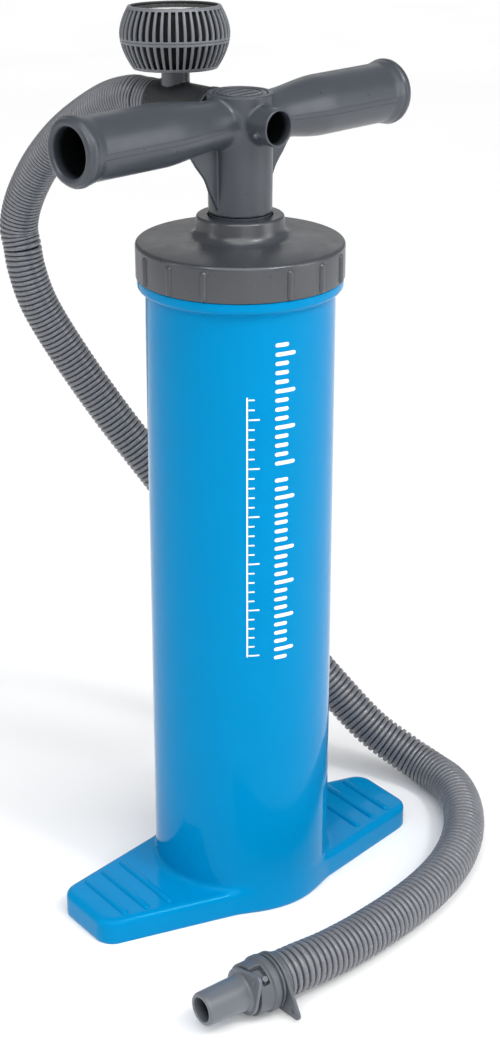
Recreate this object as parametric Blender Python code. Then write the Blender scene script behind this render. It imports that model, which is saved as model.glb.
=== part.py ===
"""Double action hand pump: a barrel on two feet, a T handle with two ports, a gauge and a hose.

Blender 4.5 script. Lengths are in millimetres here and become metres when a mesh is made. The origin
is the centre of the base's underside, +Z up, +X along the feet, and -Y is the front.
"""

import math

import bmesh
import bpy
from mathutils import Euler, Matrix, Vector

MM = 0.001
GAP = 0.3
ROUND = 40
SMALL_ROUND = 24
TINY_ROUND = 12
SMOOTH_ANGLE = math.radians(35)
WELD = 2e-6

# Barrel and feet
BARREL_R = 54.9
BORE_R = 52.4
FLOOR_TOP = 8.0
BARREL_RIM_Z = 395.0
RIM_R = 59.4
NECK_R = 55.9
NECK_TOP = 409.5
FOOT_HALF_LENGTH = 121.0
FOOT_HALF_WIDTH = 27.0
FOOT_CORNER_R = 12.0
FOOT_HULL_R = 52.0
FOOT_HEIGHT = 16.0
FOOT_EDGE_R = 4.5
TREAD_STATIONS = (74.5, 89.5, 103.5)
TREAD_HALF_LENGTHS = (28.5, 26.0, 23.0)
TREAD_WIDTH = 4.8
TREAD_RISE = 1.6
POCKET_DEPTH = 11.0
POCKET_WALL = 3.0

# Screw cap and what seals in it
CAP_R = 60.0
CAP_BOTTOM = 395.3
CAP_RIM_Z = 415.7
CAP_INNER_R = 56.3
CAP_CEILING = 412.2
COLLAR_R = 25.0
COLLAR_TOP = 431.0
COLLAR_BORE_R = 21.4
GRIP_RIB_STEP = math.radians(21.5)
GRIP_RIB_TURN = math.radians(7.0)

# Shaft and piston
SHAFT_R = 17.9
SHAFT_BORE_R = 13.5
SPIGOT_R = 15.4
SLEEVE_BOTTOM = 432.4
SPIGOT_TOP = 462.0
CHANNEL_R = 6.5
CHANNEL_OUTER_R = 8.0
PLATE_R = 50.5
PISTON_BOTTOM = 12.0
PISTON_TOP = 34.0
SEAL_Z = (18.3, 27.7)
SEAL_CORE_R = 40.0
VALVE_STATION_R = 30.0
VALVE_HOLES = 4

# Handle
HANDLE_YAW = math.radians(7.5)
HANDLE_Z = 484.0
HANDLE_HALF = 120.5
GRIP_END_R = 19.2
GRIP_R = 17.4
GRIP_ROOT_R = 13.5
GRIP_BORE_R = 13.3
HUB_R = 18.0
HUB_TOP = 499.3
WEB_THICKNESS = 5.0
PORT_Z = 483.7
FRONT_PORT_R = 10.6
FRONT_PORT_BORE_R = 9.1
FRONT_PORT_END = 31.0
REAR_SPIGOT_R = 11.3
REAR_SPIGOT_BORE_R = 9.0
REAR_SPIGOT_END = 40.0

# Gauge tee and gauge
TEE_Z = 484.5
TEE_R = 14.0
TEE_BORE_R = 11.7
TEE_START = 19.0
TEE_END = 66.0
TEE_NIPPLE_R = 10.5
TEE_NIPPLE_END = 79.0
STEM_Y = 53.0
STEM_R = 8.1
STEM_BORE_R = 6.2
STEM_TOP = 504.2
GAUGE_PIVOT_Z = 503.0
GAUGE_LEAN_BACK = math.radians(2.6)
GAUGE_LEAN_SIDE = math.radians(1.9)
CAGE_SLOTS = 24
CAGE_WIDEST = (31.5, 22.0)
CAGE_BOTTOM = (24.1, 2.6)
CAGE_TOP = (26.3, 37.6)
CAGE_BAND = (17.3, 19.5)
CAGE_WALL = 1.6
DIAL_R = 22.0
DIAL_Z = (34.4, 35.4)
POINTER_Z = (35.8, 36.4)
LENS_Z = (36.7, 37.3)

# Hose and its two ends
HOSE_R = 13.0
HOSE_STEP = 40.0
CUFF_R = 14.6
SOCKET_X = -68.3
SOCKET_Y = -129.0
SOCKET_Z = 17.0
SOCKET_LENGTH = 23.1
SOCKET_R = 15.7
SOCKET_BORE_R = 12.2
NECK_RING_R = 14.5
EAR_TIP_R = 3.2
EAR_HOLE_R = 1.2
SOCKET_EAR = {
    "start": 3.1, "thickness": 2.2, "ring_r": 16.4, "reach": 25.8, "hole": 23.0, "turn": math.radians(-27),
}
NOZZLE_EAR = {
    "start": 24.1, "thickness": 2.2, "ring_r": 14.2, "reach": 20.6, "hole": 17.2, "turn": math.radians(47),
}
NOZZLE_LENGTH = 54.7
NOZZLE_BORE_R = 7.2
NOZZLE_ROOT_R = 10.8
NOZZLE_TIP_R = 9.5
PEG_Z = 17.7
PEG_R = 1.9
SLOT_HALF_WIDTH = 2.4
SLOT_TURN = (math.radians(34), math.radians(82))
SLOT_MOUTH_TURN = (math.radians(62), math.radians(82))

UPPER_ROUTE = [
    (-10.5, 79.6, 484.5), (-11.8, 89.6, 484.4), (-14, 110, 478.5), (-17, 134, 466), (-20.5, 158, 449.5),
    (-24, 180, 428), (-26.5, 196, 405), (-27.4, 203, 385.9), (-26.015, 202.01, 372.15),
]
LOWER_ROUTE = [
    (-25.985, 201.99, 371.85), (-24.8, 201.1, 360.1), (-20.2, 199.2, 341), (-12.6, 196, 322), (2, 187.6, 292),
    (20, 174, 257), (38, 158, 224), (62, 135, 180), (85, 111, 138), (107, 88, 98), (127, 67, 64),
    (143, 44, 37), (156, 23, 22), (163, 3, 14.5), (162, -20, 13.5), (152, -42, 13.5), (136, -63, 13.5),
    (115, -82, 13.5), (91, -97, 13.5), (65, -108, 13.5), (35, -116.5, 13.6), (0, -123.4, 14.1),
    (-30, -127.6, 15.4), (-52, -129, 17), (-68, -129, 17),
]


def clear_scene():
    for item in list(bpy.data.objects):
        bpy.data.objects.remove(item, do_unlink=True)


def material(name, colour, roughness, metallic=0.0, transmission=0.0):
    made = bpy.data.materials.new(name)
    made.use_nodes = True
    made.diffuse_color = (*colour, 1.0)
    shader = made.node_tree.nodes["Principled BSDF"]
    shader.inputs["Base Color"].default_value = (*colour, 1.0)
    shader.inputs["Roughness"].default_value = roughness
    shader.inputs["Metallic"].default_value = metallic
    shader.inputs["Transmission Weight"].default_value = transmission
    return made


def blue_plastic(name):
    return material(name, (0.0, 0.27, 0.60), 0.22)


def grey_plastic(name):
    return material(name, (0.085, 0.105, 0.125), 0.38)


def hose_plastic(name):
    return material(name, (0.14, 0.145, 0.165), 0.42)


def black_rubber(name):
    return material(name, (0.012, 0.012, 0.013), 0.65)


def white_plastic(name):
    return material(name, (0.80, 0.80, 0.80), 0.45)


def clear_plastic(name):
    return material(name, (0.95, 0.97, 0.98), 0.05, transmission=1.0)


def zinc_steel(name):
    return material(name, (0.55, 0.56, 0.58), 0.32, metallic=1.0)


def empty(name, location=(0, 0, 0), rotation=(0, 0, 0), parent=None):
    """A frame that other objects hang from, on the axis that they turn or slide on."""
    made = bpy.data.objects.new(name, None)
    bpy.context.scene.collection.objects.link(made)
    made.empty_display_size = 0.02
    made.location = Vector(location) * MM
    made.rotation_euler = Euler(rotation)
    made.parent = parent
    return made


def object_from(name, bm, paint, parent=None):
    """Turns a bmesh in millimetres into an object, with smooth shading and outward faces."""
    bmesh.ops.remove_doubles(bm, verts=bm.verts, dist=1e-4)
    bmesh.ops.recalc_face_normals(bm, faces=bm.faces)
    bmesh.ops.scale(bm, vec=(MM, MM, MM), verts=bm.verts)
    mesh = bpy.data.meshes.new(name)
    bm.to_mesh(mesh)
    bm.free()
    made = bpy.data.objects.new(name, mesh)
    bpy.context.scene.collection.objects.link(made)
    made.parent = parent
    if paint:
        mesh.materials.append(paint(name))
    mesh.shade_smooth()
    mesh.set_sharp_from_angle(angle=SMOOTH_ANGLE)
    return made


def lathe(profile, steps=ROUND, place=None):
    """A bmesh turned about Z from (radius, height) points, which form a loop or run from axis to axis.

    Its first point stands a third of a step off +X, so that the points of crossing rounds never meet."""
    bm = bmesh.new()
    angles = [math.tau * (i + 0.33) / steps for i in range(steps)]
    on_axis = profile[0][0] == 0
    rings = []
    for radius, height in profile:
        ring = angles[:1] if radius == 0 else angles
        rings.append([bm.verts.new((radius * math.cos(a), radius * math.sin(a), height)) for a in ring])
    pairs = list(zip(rings, rings[1:]))
    if not on_axis:
        pairs.append((rings[-1], rings[0]))
    for low, high in pairs:
        for i in range(steps):
            j = (i + 1) % steps
            corners = [low[i % len(low)], low[j % len(low)], high[j % len(high)], high[i % len(high)]]
            corners = [corner for n, corner in enumerate(corners) if corner not in corners[:n]]
            bm.faces.new(corners)
    if place:
        bmesh.ops.transform(bm, matrix=place, verts=bm.verts)
    return bm


def along(direction, origin=(0, 0, 0)):
    """The matrix that lays +Z along a direction, from an origin."""
    turn = Vector(direction).to_track_quat("Z", "Y").to_matrix().to_4x4()
    return Matrix.Translation(Vector(origin)) @ turn


def rod(radius, start, end, steps=SMALL_ROUND):
    """A round bar between two points."""
    span = Vector(end) - Vector(start)
    profile = [(0, 0), (radius, 0), (radius, span.length), (0, span.length)]
    return lathe(profile, steps, along(span, start))


def prism(outline, thickness, place=None):
    """A flat plate from an outline in XY, from z = 0 up to its thickness."""
    bm = bmesh.new()
    face = bm.faces.new([bm.verts.new((x, y, 0)) for x, y in outline])
    grown = bmesh.ops.extrude_face_region(bm, geom=[face])["geom"]
    top = [item for item in grown if isinstance(item, bmesh.types.BMVert)]
    bmesh.ops.translate(bm, vec=(0, 0, thickness), verts=top)
    if place:
        bmesh.ops.transform(bm, matrix=place, verts=bm.verts)
    return bm


def hull_outline(circles, shrink=0.0, steps=64):
    """The outline round some (x, y, radius) circles, each made smaller by shrink."""
    points = []
    for i in range(steps):
        angle = math.tau * i / steps
        nx, ny = math.cos(angle), math.sin(angle)
        x, y, radius = max(circles, key=lambda c: c[0] * nx + c[1] * ny + c[2])
        points.append((x + (radius - shrink) * nx, y + (radius - shrink) * ny))
    return points


def combine(target, bm, operation):
    """Joins a bmesh to an object, or cuts it from the object, and keeps one mesh."""
    tool = object_from("tool", bm, None, target.parent)
    tool.hide_render = True
    tool.display_type = "WIRE"
    step = target.modifiers.new("combine", "BOOLEAN")
    step.operation = operation
    step.solver = "EXACT"
    step.object = tool
    bpy.context.view_layer.update()
    graph = bpy.context.evaluated_depsgraph_get()
    result = bpy.data.meshes.new_from_object(target.evaluated_get(graph))
    bm = bmesh.new()
    bm.from_mesh(result)
    bmesh.ops.remove_doubles(bm, verts=bm.verts, dist=WELD)
    bmesh.ops.dissolve_degenerate(bm, edges=bm.edges, dist=WELD)
    bm.to_mesh(result)
    bm.free()
    target.modifiers.remove(step)
    old = target.data
    target.data = result
    bpy.data.meshes.remove(old)
    result.name = target.name
    bpy.data.objects.remove(tool, do_unlink=True)
    result.shade_smooth()
    result.set_sharp_from_angle(angle=SMOOTH_ANGLE)


def add(target, bm):
    combine(target, bm, "UNION")


def cut(target, bm):
    combine(target, bm, "DIFFERENCE")


def tread(x, half_length):
    """One raised rib across a foot, a low bar with round ends and a chamfered top."""
    radius = TREAD_WIDTH / 2
    circles = [(x, side * (half_length - radius), radius) for side in (-1, 1)]
    levels = [(0.0, FOOT_HEIGHT - 1), (0.0, FOOT_HEIGHT + 0.7), (1.4, FOOT_HEIGHT + TREAD_RISE)]
    return loft(levels, circles, 16)


def loft(levels, circles, steps):
    """A solid from stacked outlines: each level is (shrink, height)."""
    bm = bmesh.new()
    rings = []
    for shrink, z in levels:
        rings.append([bm.verts.new((x, y, z)) for x, y in hull_outline(circles, shrink, steps)])
    for low, high in zip(rings, rings[1:]):
        for i in range(steps):
            j = (i + 1) % steps
            bm.faces.new((low[i], low[j], high[j], high[i]))
    bm.faces.new(rings[0][::-1])
    bm.faces.new(rings[-1])
    return bm


def foot_circles():
    x = FOOT_HALF_LENGTH - FOOT_CORNER_R
    y = FOOT_HALF_WIDTH - FOOT_CORNER_R
    corners = [(sx * x, sy * y, FOOT_CORNER_R) for sx in (-1, 1) for sy in (-1, 1)]
    return [(0, 0, FOOT_HULL_R), *corners]


def pocket(side, half):
    """A hollow under a foot. A wall along the middle of the foot parts it from its neighbour."""
    x0, x1 = 61.0, FOOT_HALF_LENGTH - POCKET_WALL - 5
    y0, y1 = 2.0, 22.0
    circles = [(side * x, half * y, 3.0) for x in (x0 + 3, x1 - 3) for y in (y0 + 3, y1 - 3)]
    circles[1] = (side * (x0 + 3), half * (y1 + 4), 3.0)
    return loft([(0, -1), (0.6, POCKET_DEPTH)], circles, 16)


def make_barrel():
    edge = [(FOOT_EDGE_R * (1 - math.cos(a)), FOOT_HEIGHT - FOOT_EDGE_R * (1 - math.sin(a)))
            for a in (math.radians(d) for d in (0, 30, 60, 90))]
    body = object_from("pump_barrel", loft([(0.8, 0), (0, 0.8), *edge], foot_circles(), 64), blue_plastic)
    add(body, lathe([
        (0, 0), (BARREL_R - 0.8, 0), (BARREL_R, 0.8), (BARREL_R, 386), (RIM_R, 393.6), (RIM_R, BARREL_RIM_Z),
        (NECK_R, BARREL_RIM_Z), (NECK_R, NECK_TOP), (0, NECK_TOP),
    ]))
    for side in (-1, 1):
        for x, half_length in zip(TREAD_STATIONS, TREAD_HALF_LENGTHS):
            add(body, tread(side * x, half_length))
    cut(body, lathe([(0, FLOOR_TOP), (BORE_R, FLOOR_TOP), (BORE_R, NECK_TOP + 1), (0, NECK_TOP + 1)]))
    for side in (-1, 1):
        for half in (-1, 1):
            cut(body, pocket(side, half))


def grip_rib(angle):
    """One upright rib on the cap's skirt, with a rounded head."""
    radius, width = 0.9, 1.25
    base = Matrix.Rotation(angle, 4, "Z") @ Matrix.Translation((CAP_R - 0.3, 0, 0))
    bm = lathe([(0, CAP_BOTTOM + 0.4), (width, CAP_BOTTOM + 0.4), (width, CAP_RIM_Z - 4.4),
                (width * 0.7, CAP_RIM_Z - 3.5), (0, CAP_RIM_Z - 3.1)], 12)
    bmesh.ops.scale(bm, vec=(radius / width, 1, 1), verts=bm.verts)
    bmesh.ops.transform(bm, matrix=base, verts=bm.verts)
    return bm


def make_cap():
    cap = object_from("screw_cap", lathe([
        (CAP_INNER_R, CAP_BOTTOM), (CAP_R - 0.5, CAP_BOTTOM), (CAP_R, CAP_BOTTOM + 0.5),
        (CAP_R, CAP_RIM_Z - 1.2), (CAP_R - 1.2, CAP_RIM_Z), (34, 417.6), (29.0, 419.6), (26.6, 424), (25.4, 429.4),
        (COLLAR_R - 1.2, COLLAR_TOP), (COLLAR_BORE_R, COLLAR_TOP), (COLLAR_BORE_R, CAP_CEILING),
        (CAP_INNER_R, CAP_CEILING),
    ]), grey_plastic)
    for quarter in range(4):
        for place in (-1, 0, 1):
            add(cap, grip_rib(GRIP_RIB_TURN + quarter * math.pi / 2 + place * GRIP_RIB_STEP))


def make_cap_seals():
    object_from("cap_gasket", lathe([
        (52.8, NECK_TOP + GAP), (NECK_R - 0.4, NECK_TOP + GAP), (NECK_R - 0.4, CAP_CEILING - GAP),
        (52.8, CAP_CEILING - GAP),
    ]), black_rubber)
    inner, outer, top = SHAFT_R + 0.35, COLLAR_BORE_R - GAP, COLLAR_TOP - 4.2
    object_from("shaft_bush", lathe([
        (inner, 388), (outer + 1, 388), (outer + 1, 406), (28, 408.5), (28, CAP_CEILING - GAP),
        (outer, CAP_CEILING - GAP), (outer, top), (inner, top),
    ], SMALL_ROUND), grey_plastic)
    object_from("shaft_wiper", lathe([
        (inner, top + GAP), (outer, top + GAP), (outer, top + 2.6), (inner + 1.2, top + 2.0),
        (inner, top + 2.8),
    ], SMALL_ROUND), black_rubber)


def make_shaft(parent):
    object_from("shaft_tube", lathe([
        (4.4, PISTON_TOP + GAP), (SHAFT_R, PISTON_TOP + GAP), (SHAFT_R, SLEEVE_BOTTOM - GAP),
        (SPIGOT_R, SLEEVE_BOTTOM - GAP), (SPIGOT_R, SPIGOT_TOP), (SHAFT_BORE_R, SPIGOT_TOP), (SHAFT_BORE_R, 46),
        (9.2, 46), (9.2, 42), (4.4, 42),
    ], SMALL_ROUND), grey_plastic, parent)
    object_from("shaft_inner_tube", lathe([
        (CHANNEL_R, 44), (CHANNEL_OUTER_R, 44), (CHANNEL_OUTER_R, 475), (CHANNEL_R, 475),
    ], SMALL_ROUND), grey_plastic, parent)


def plate_holes(target, low, high):
    for i in range(VALVE_HOLES):
        angle = math.tau * (i + 0.1) / VALVE_HOLES
        x, y = VALVE_STATION_R * math.cos(angle), VALVE_STATION_R * math.sin(angle)
        cut(target, rod(4.0, (x, y, low), (x, y, high), TINY_ROUND))


def make_piston(parent, carriage):
    lower = object_from("piston_lower_plate", lathe([
        (4.4, 16.5), (7.6, 16.5), (7.6, PISTON_BOTTOM), (PLATE_R, PISTON_BOTTOM), (PLATE_R, SEAL_Z[0] - GAP),
        (SEAL_CORE_R, SEAL_Z[0] - GAP), (SEAL_CORE_R, SEAL_Z[1]), (4.4, SEAL_Z[1]),
    ], SMALL_ROUND), grey_plastic, parent)
    upper = object_from("piston_upper_plate", lathe([
        (4.4, SEAL_Z[1] + GAP), (PLATE_R, SEAL_Z[1] + GAP), (PLATE_R, PISTON_TOP), (21.6, PISTON_TOP),
        (21.6, 44),
        (SHAFT_R + GAP, 44), (SHAFT_R + GAP, PISTON_TOP), (4.4, PISTON_TOP),
    ], SMALL_ROUND), grey_plastic, parent)
    plate_holes(lower, PISTON_BOTTOM - 1, SEAL_Z[1] + 1)
    plate_holes(upper, SEAL_Z[1] - 1, PISTON_TOP + 1)
    object_from("piston_seal", lathe([
        (SEAL_CORE_R + GAP, SEAL_Z[0]), (49.5, SEAL_Z[0]), (BORE_R - GAP, SEAL_Z[0] + 2),
        (BORE_R - GAP, SEAL_Z[1] - 2), (49.5, SEAL_Z[1] - GAP), (SEAL_CORE_R + GAP, SEAL_Z[1] - GAP),
    ], ROUND), black_rubber, carriage)
    object_from("piston_screw", lathe([
        (0, 12.6), (6.6, 12.6), (7.2, 13.2), (7.2, 16.1), (4.0, 16.1), (4.0, 41.4), (0, 41.4),
    ], TINY_ROUND), zinc_steel, parent)
    for name, low in (("valve_flap_lower", PISTON_BOTTOM - GAP - 1.5), ("valve_flap_upper", PISTON_TOP + GAP)):
        object_from(name, lathe([(23, low), (37, low), (37, low + 1.5), (23, low + 1.5)], SMALL_ROUND),
                    black_rubber, parent)


def grip_profile():
    """(radius, distance) down one half of the handle, from the end ring to the hub."""
    flare = [
        (GRIP_END_R - 0.7, HANDLE_HALF), (GRIP_END_R, HANDLE_HALF - 0.8), (18.6, 117.4), (GRIP_R, 111),
        (GRIP_R, 62),
    ]
    taper = []
    for step in range(1, 4):
        share = step / 4
        ease = share * share * (3 - 2 * share)
        taper.append((GRIP_R + (GRIP_ROOT_R - GRIP_R) * ease, 62 - 37 * share))
    return flare + taper + [(GRIP_ROOT_R, 25)]


def grips():
    half = grip_profile()
    bore = [(0, 34), (9.0, 34), (GRIP_BORE_R, 62), (GRIP_BORE_R, HANDLE_HALF)]
    right = bore + half
    left = [(radius, -distance) for radius, distance in reversed(right)]
    return lathe(right + left, SMALL_ROUND, along((1, 0, 0), (0, 0, HANDLE_Z)))


def web():
    """The two thin gussets under the grips, as one plate in the handle's plane."""
    side = [(39, 470), (33.5, 462.8), (28, 455.6), (24, 448.4), (20.5, 440.5), (17.6, 435)]
    outline = side + [(-x, z) for x, z in reversed(side)] + [(-39, 478), (39, 478)]
    place = Matrix.Translation((0, WEB_THICKNESS / 2, 0)) @ Matrix.Rotation(math.pi / 2, 4, "X")
    return prism(outline, WEB_THICKNESS, place)


def make_handle(parent):
    handle = object_from("pump_handle", grips(), grey_plastic, parent)
    add(handle, lathe([
        (0, SLEEVE_BOTTOM), (HUB_R - 0.6, SLEEVE_BOTTOM), (HUB_R, SLEEVE_BOTTOM + 0.6), (HUB_R, HUB_TOP - 0.8),
        (HUB_R - 0.8, HUB_TOP), (0, HUB_TOP),
    ], SMALL_ROUND))
    add(handle, web())
    add(handle, rod(FRONT_PORT_R, (0, 0, PORT_Z), (0, -FRONT_PORT_END, PORT_Z)))
    add(handle, rod(REAR_SPIGOT_R, (0, 0, TEE_Z), (0, REAR_SPIGOT_END, TEE_Z)))
    add(handle, rod(1.5, (-8, -24.5, PORT_Z - 3), (-12, -24.5, PORT_Z - 4.6), 12))
    cut(handle, rod(SPIGOT_R + GAP, (0, 0, SLEEVE_BOTTOM - 1), (0, 0, SPIGOT_TOP + 1)))
    cut(handle, rod(CHANNEL_OUTER_R + GAP, (0, 0, SPIGOT_TOP), (0, 0, 476)))
    cut(handle, rod(CHANNEL_R - 0.2, (0, 0, 475), (0, 0, TEE_Z), TINY_ROUND))
    cut(handle, rod(REAR_SPIGOT_BORE_R, (0, -6.4, TEE_Z), (0, REAR_SPIGOT_END + 1, TEE_Z)))
    cut(handle, rod(FRONT_PORT_BORE_R, (0, -11, PORT_Z), (0, -FRONT_PORT_END - 1, PORT_Z)))
    cut(handle, rod(2.4, (0, -12.6, SPIGOT_TOP), (0, -12.6, PORT_Z), 12))
    cut(handle, rod(15.6, (0, 0, HUB_TOP - 2.4), (0, 0, HUB_TOP + 1)))


def make_hub_cap(parent):
    low = HUB_TOP - 2.4 + GAP
    disc = object_from("hub_cap", lathe([
        (0, low), (15.3, low), (15.3, HUB_TOP - 0.5), (14.9, HUB_TOP - 0.1), (0, HUB_TOP - 0.1),
    ], SMALL_ROUND), grey_plastic, parent)
    for i in range(6):
        angle = math.tau * i / 6
        x, y = math.cos(angle), math.sin(angle)
        add(disc, rod(1.3, (9 * x, 9 * y, HUB_TOP - 0.6), (9 * x, 9 * y, HUB_TOP + 0.4), 12))


def make_tee(parent):
    tee = object_from("gauge_tee", lathe([
        (TEE_BORE_R, TEE_START), (TEE_R - 0.5, TEE_START), (TEE_R, TEE_START + 0.5), (TEE_R, TEE_END - 0.5),
        (TEE_R - 0.5, TEE_END), (TEE_NIPPLE_R, TEE_END), (TEE_NIPPLE_R, TEE_NIPPLE_END), (8.4, TEE_NIPPLE_END),
        (8.4, TEE_END - 3), (TEE_BORE_R, TEE_END - 6),
    ], SMALL_ROUND, along((0, 1, 0), (0, 0, TEE_Z))), grey_plastic, parent)
    add(tee, rod(STEM_R, (0, STEM_Y, TEE_Z + 12.6), (0, STEM_Y, STEM_TOP)))
    cut(tee, rod(STEM_BORE_R, (0, STEM_Y, TEE_Z + 8), (0, STEM_Y, STEM_TOP + 1), 24))
    object_from("hose_cuff_upper", lathe([
        (TEE_NIPPLE_R + GAP, TEE_END + GAP), (CUFF_R - 1.6, TEE_END + GAP), (CUFF_R - 1.6, TEE_END + 3),
        (CUFF_R, TEE_END + 3.6), (CUFF_R, TEE_NIPPLE_END - 0.2), (TEE_NIPPLE_R + GAP, TEE_NIPPLE_END - 0.2),
    ], SMALL_ROUND, along((0, 1, 0), (0, 0, TEE_Z))), hose_plastic, parent)


def cage_radius(height):
    """The globe's outer radius at a height: its widest circle, drawn in towards either end."""
    widest, middle = CAGE_WIDEST
    radius, end = CAGE_BOTTOM if height < middle else CAGE_TOP
    share = abs(height - middle) / abs(end - middle)
    return widest - (widest - radius) * share ** 1.8


def cage(levels, solid_rows):
    """A slotted shell: rows between levels are whole, or only ribs where solid_rows says False."""
    bm = bmesh.new()
    pitch = math.tau / CAGE_SLOTS
    angles = [pitch * (i // 2) + (0.42 * pitch if i % 2 else 0) for i in range(2 * CAGE_SLOTS)]
    count = len(angles)
    skins = []
    for offset in (0, CAGE_WALL):
        rings = []
        for z in levels:
            radius = cage_radius(z) - offset
            rings.append([bm.verts.new((radius * math.cos(a), radius * math.sin(a), z)) for a in angles])
        skins.append(rings)
    outer, inner = skins

    def filled(row, column):
        return 0 <= row < len(solid_rows) and (solid_rows[row] or column % 2 == 0)

    for row in range(len(solid_rows)):
        for i in range(count):
            j = (i + 1) % count
            if not filled(row, i):
                continue
            for skin in skins:
                bm.faces.new((skin[row][i], skin[row][j], skin[row + 1][j], skin[row + 1][i]))
            for near, level in ((row - 1, row), (row + 1, row + 1)):
                if not filled(near, i):
                    bm.faces.new((outer[level][i], outer[level][j], inner[level][j], inner[level][i]))
            for near, side in (((i - 1) % count, i), (j, j)):
                if not filled(row, near):
                    corners = (outer[row][side], outer[row + 1][side], inner[row + 1][side], inner[row][side])
                    bm.faces.new(corners)
    return bm


def make_gauge(parent):
    low, high = CAGE_BOTTOM[1], CAGE_TOP[1]
    band_low, band_high = CAGE_BAND
    lower = object_from("gauge_cage_lower", cage(
        [low, low + 1.4, (low + band_low) / 2, band_low - 0.4, band_high - 1.0], [True, False, False, True]),
        grey_plastic, parent)
    floor_r = CAGE_BOTTOM[0] - 0.6
    add(lower, lathe([(0, low), (floor_r, low), (floor_r, low + 1.2), (0, low + 1.2)], 44))
    add(lower, rod(STEM_BORE_R - 0.9, (0, 0, -4), (0, 0, low + 0.6), TINY_ROUND))
    cut(lower, rod(1.5, (0, 0, -5), (0, 0, low + 3), 12))
    object_from("gauge_cage_upper", cage(
        [band_high - 0.7, band_high, (band_high + high) / 2, high - 3.0, high], [True, False, False, True]),
        grey_plastic, parent)
    object_from("gauge_can", lathe([
        (0, low + 1.5), (20.5, low + 1.5), (22.6, low + 6), (22.6, 33.2), (22.0, 34.1), (0, 34.1),
    ], SMALL_ROUND), black_rubber, parent)
    object_from("gauge_dial", lathe([
        (2.6, DIAL_Z[0]), (DIAL_R, DIAL_Z[0]), (DIAL_R, DIAL_Z[1]), (2.6, DIAL_Z[1]),
    ], SMALL_ROUND), white_plastic, parent)
    object_from("gauge_lens", lathe([
        (0, LENS_Z[0]), (DIAL_R + 0.6, LENS_Z[0]), (DIAL_R + 0.6, LENS_Z[1]), (0, LENS_Z[1]),
    ], SMALL_ROUND), clear_plastic, parent)
    pointer = object_from("gauge_pointer", lathe([
        (0, DIAL_Z[0] + 0.1), (2.0, DIAL_Z[0] + 0.1), (2.0, POINTER_Z[0]), (2.8, POINTER_Z[0]),
        (2.8, POINTER_Z[1]), (0, POINTER_Z[1]),
    ], 16), black_rubber, parent)
    outline = [(-5, -1.3), (0, -1.1), (16, -0.35), (16, 0.35), (0, 1.1), (-5, 1.3)]
    tip = prism(outline, POINTER_Z[1] - POINTER_Z[0], Matrix.Translation((0, 0, POINTER_Z[0])))
    add(pointer, tip)


def smooth_path(points, steps_each=12):
    """Points along a Catmull-Rom curve through the given ones."""
    knots = [Vector(p) for p in points]
    knots = [2 * knots[0] - knots[1], *knots, 2 * knots[-1] - knots[-2]]
    path = []
    for a, b, c, d in zip(knots, knots[1:], knots[2:], knots[3:]):
        for i in range(steps_each):
            t = i / steps_each
            bend = 2 * a - 5 * b + 4 * c - d
            twist = 3 * b - a - 3 * c + d
            path.append(0.5 * (2 * b + (c - a) * t + bend * t * t + twist * t ** 3))
    return [*path, knots[-2]]


def spaced(path, step):
    """Points at equal steps along a path, with both of its ends."""
    lengths = [0.0]
    for a, b in zip(path, path[1:]):
        lengths.append(lengths[-1] + (b - a).length)
    count = max(1, round(lengths[-1] / step))
    points = []
    at = 0
    for i in range(count + 1):
        want = lengths[-1] * i / count
        while at < len(path) - 2 and lengths[at + 1] < want:
            at += 1
        share = (want - lengths[at]) / (lengths[at + 1] - lengths[at])
        points.append(path[at].lerp(path[at + 1], min(1.0, share)))
    return points


def make_hose(name, route, parent=None):
    """A round tube along a route whose first and last stretches are straight, so its end faces are square."""
    inner = spaced(smooth_path(route[1:-1]), HOSE_STEP)
    points = [Vector(route[0]), *inner, Vector(route[-1])]
    curve = bpy.data.curves.new(name, "CURVE")
    curve.dimensions = "3D"
    curve.bevel_depth = HOSE_R * MM
    curve.bevel_resolution = 4
    curve.use_fill_caps = True
    line = curve.splines.new("POLY")
    line.points.add(len(points) - 1)
    back = parent.matrix_world.inverted() if parent else Matrix.Identity(4)
    for spot, point in zip(line.points, points):
        spot.co = (*(back @ (point * MM)), 1.0)
    made = bpy.data.objects.new(name, curve)
    bpy.context.scene.collection.objects.link(made)
    made.parent = parent
    curve.materials.append(hose_plastic(name))


def polar(radius, angle, height=0.0):
    return Vector((radius * math.cos(angle), radius * math.sin(angle), height))


def ear(start, thickness, ring_r, reach, hole, turn):
    """A plate round the collar's axis with one long ear: (the plate, the cutter of the hole in its ear)."""
    tip = polar(reach, turn)
    outline = hull_outline([(0, 0, ring_r), (tip.x, tip.y, EAR_TIP_R)], 0, 36)
    plate = prism(outline, thickness, Matrix.Translation((0, 0, start)))
    low, high = polar(hole, turn, start - 1), polar(hole, turn, start + thickness + 1)
    return plate, rod(EAR_HOLE_R, low, high, TINY_ROUND)


def sector(inner, outer, turns, low, high):
    """A slice of a ring between two angles, for cutting a slot round the collar."""
    low_turn, high_turn = turns
    angles = [low_turn + (high_turn - low_turn) * i / 6 for i in range(7)]
    outline = [polar(outer, a)[:2] for a in angles] + [polar(inner, a)[:2] for a in reversed(angles)]
    return prism(outline, high - low, Matrix.Translation((0, 0, low)))


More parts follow.
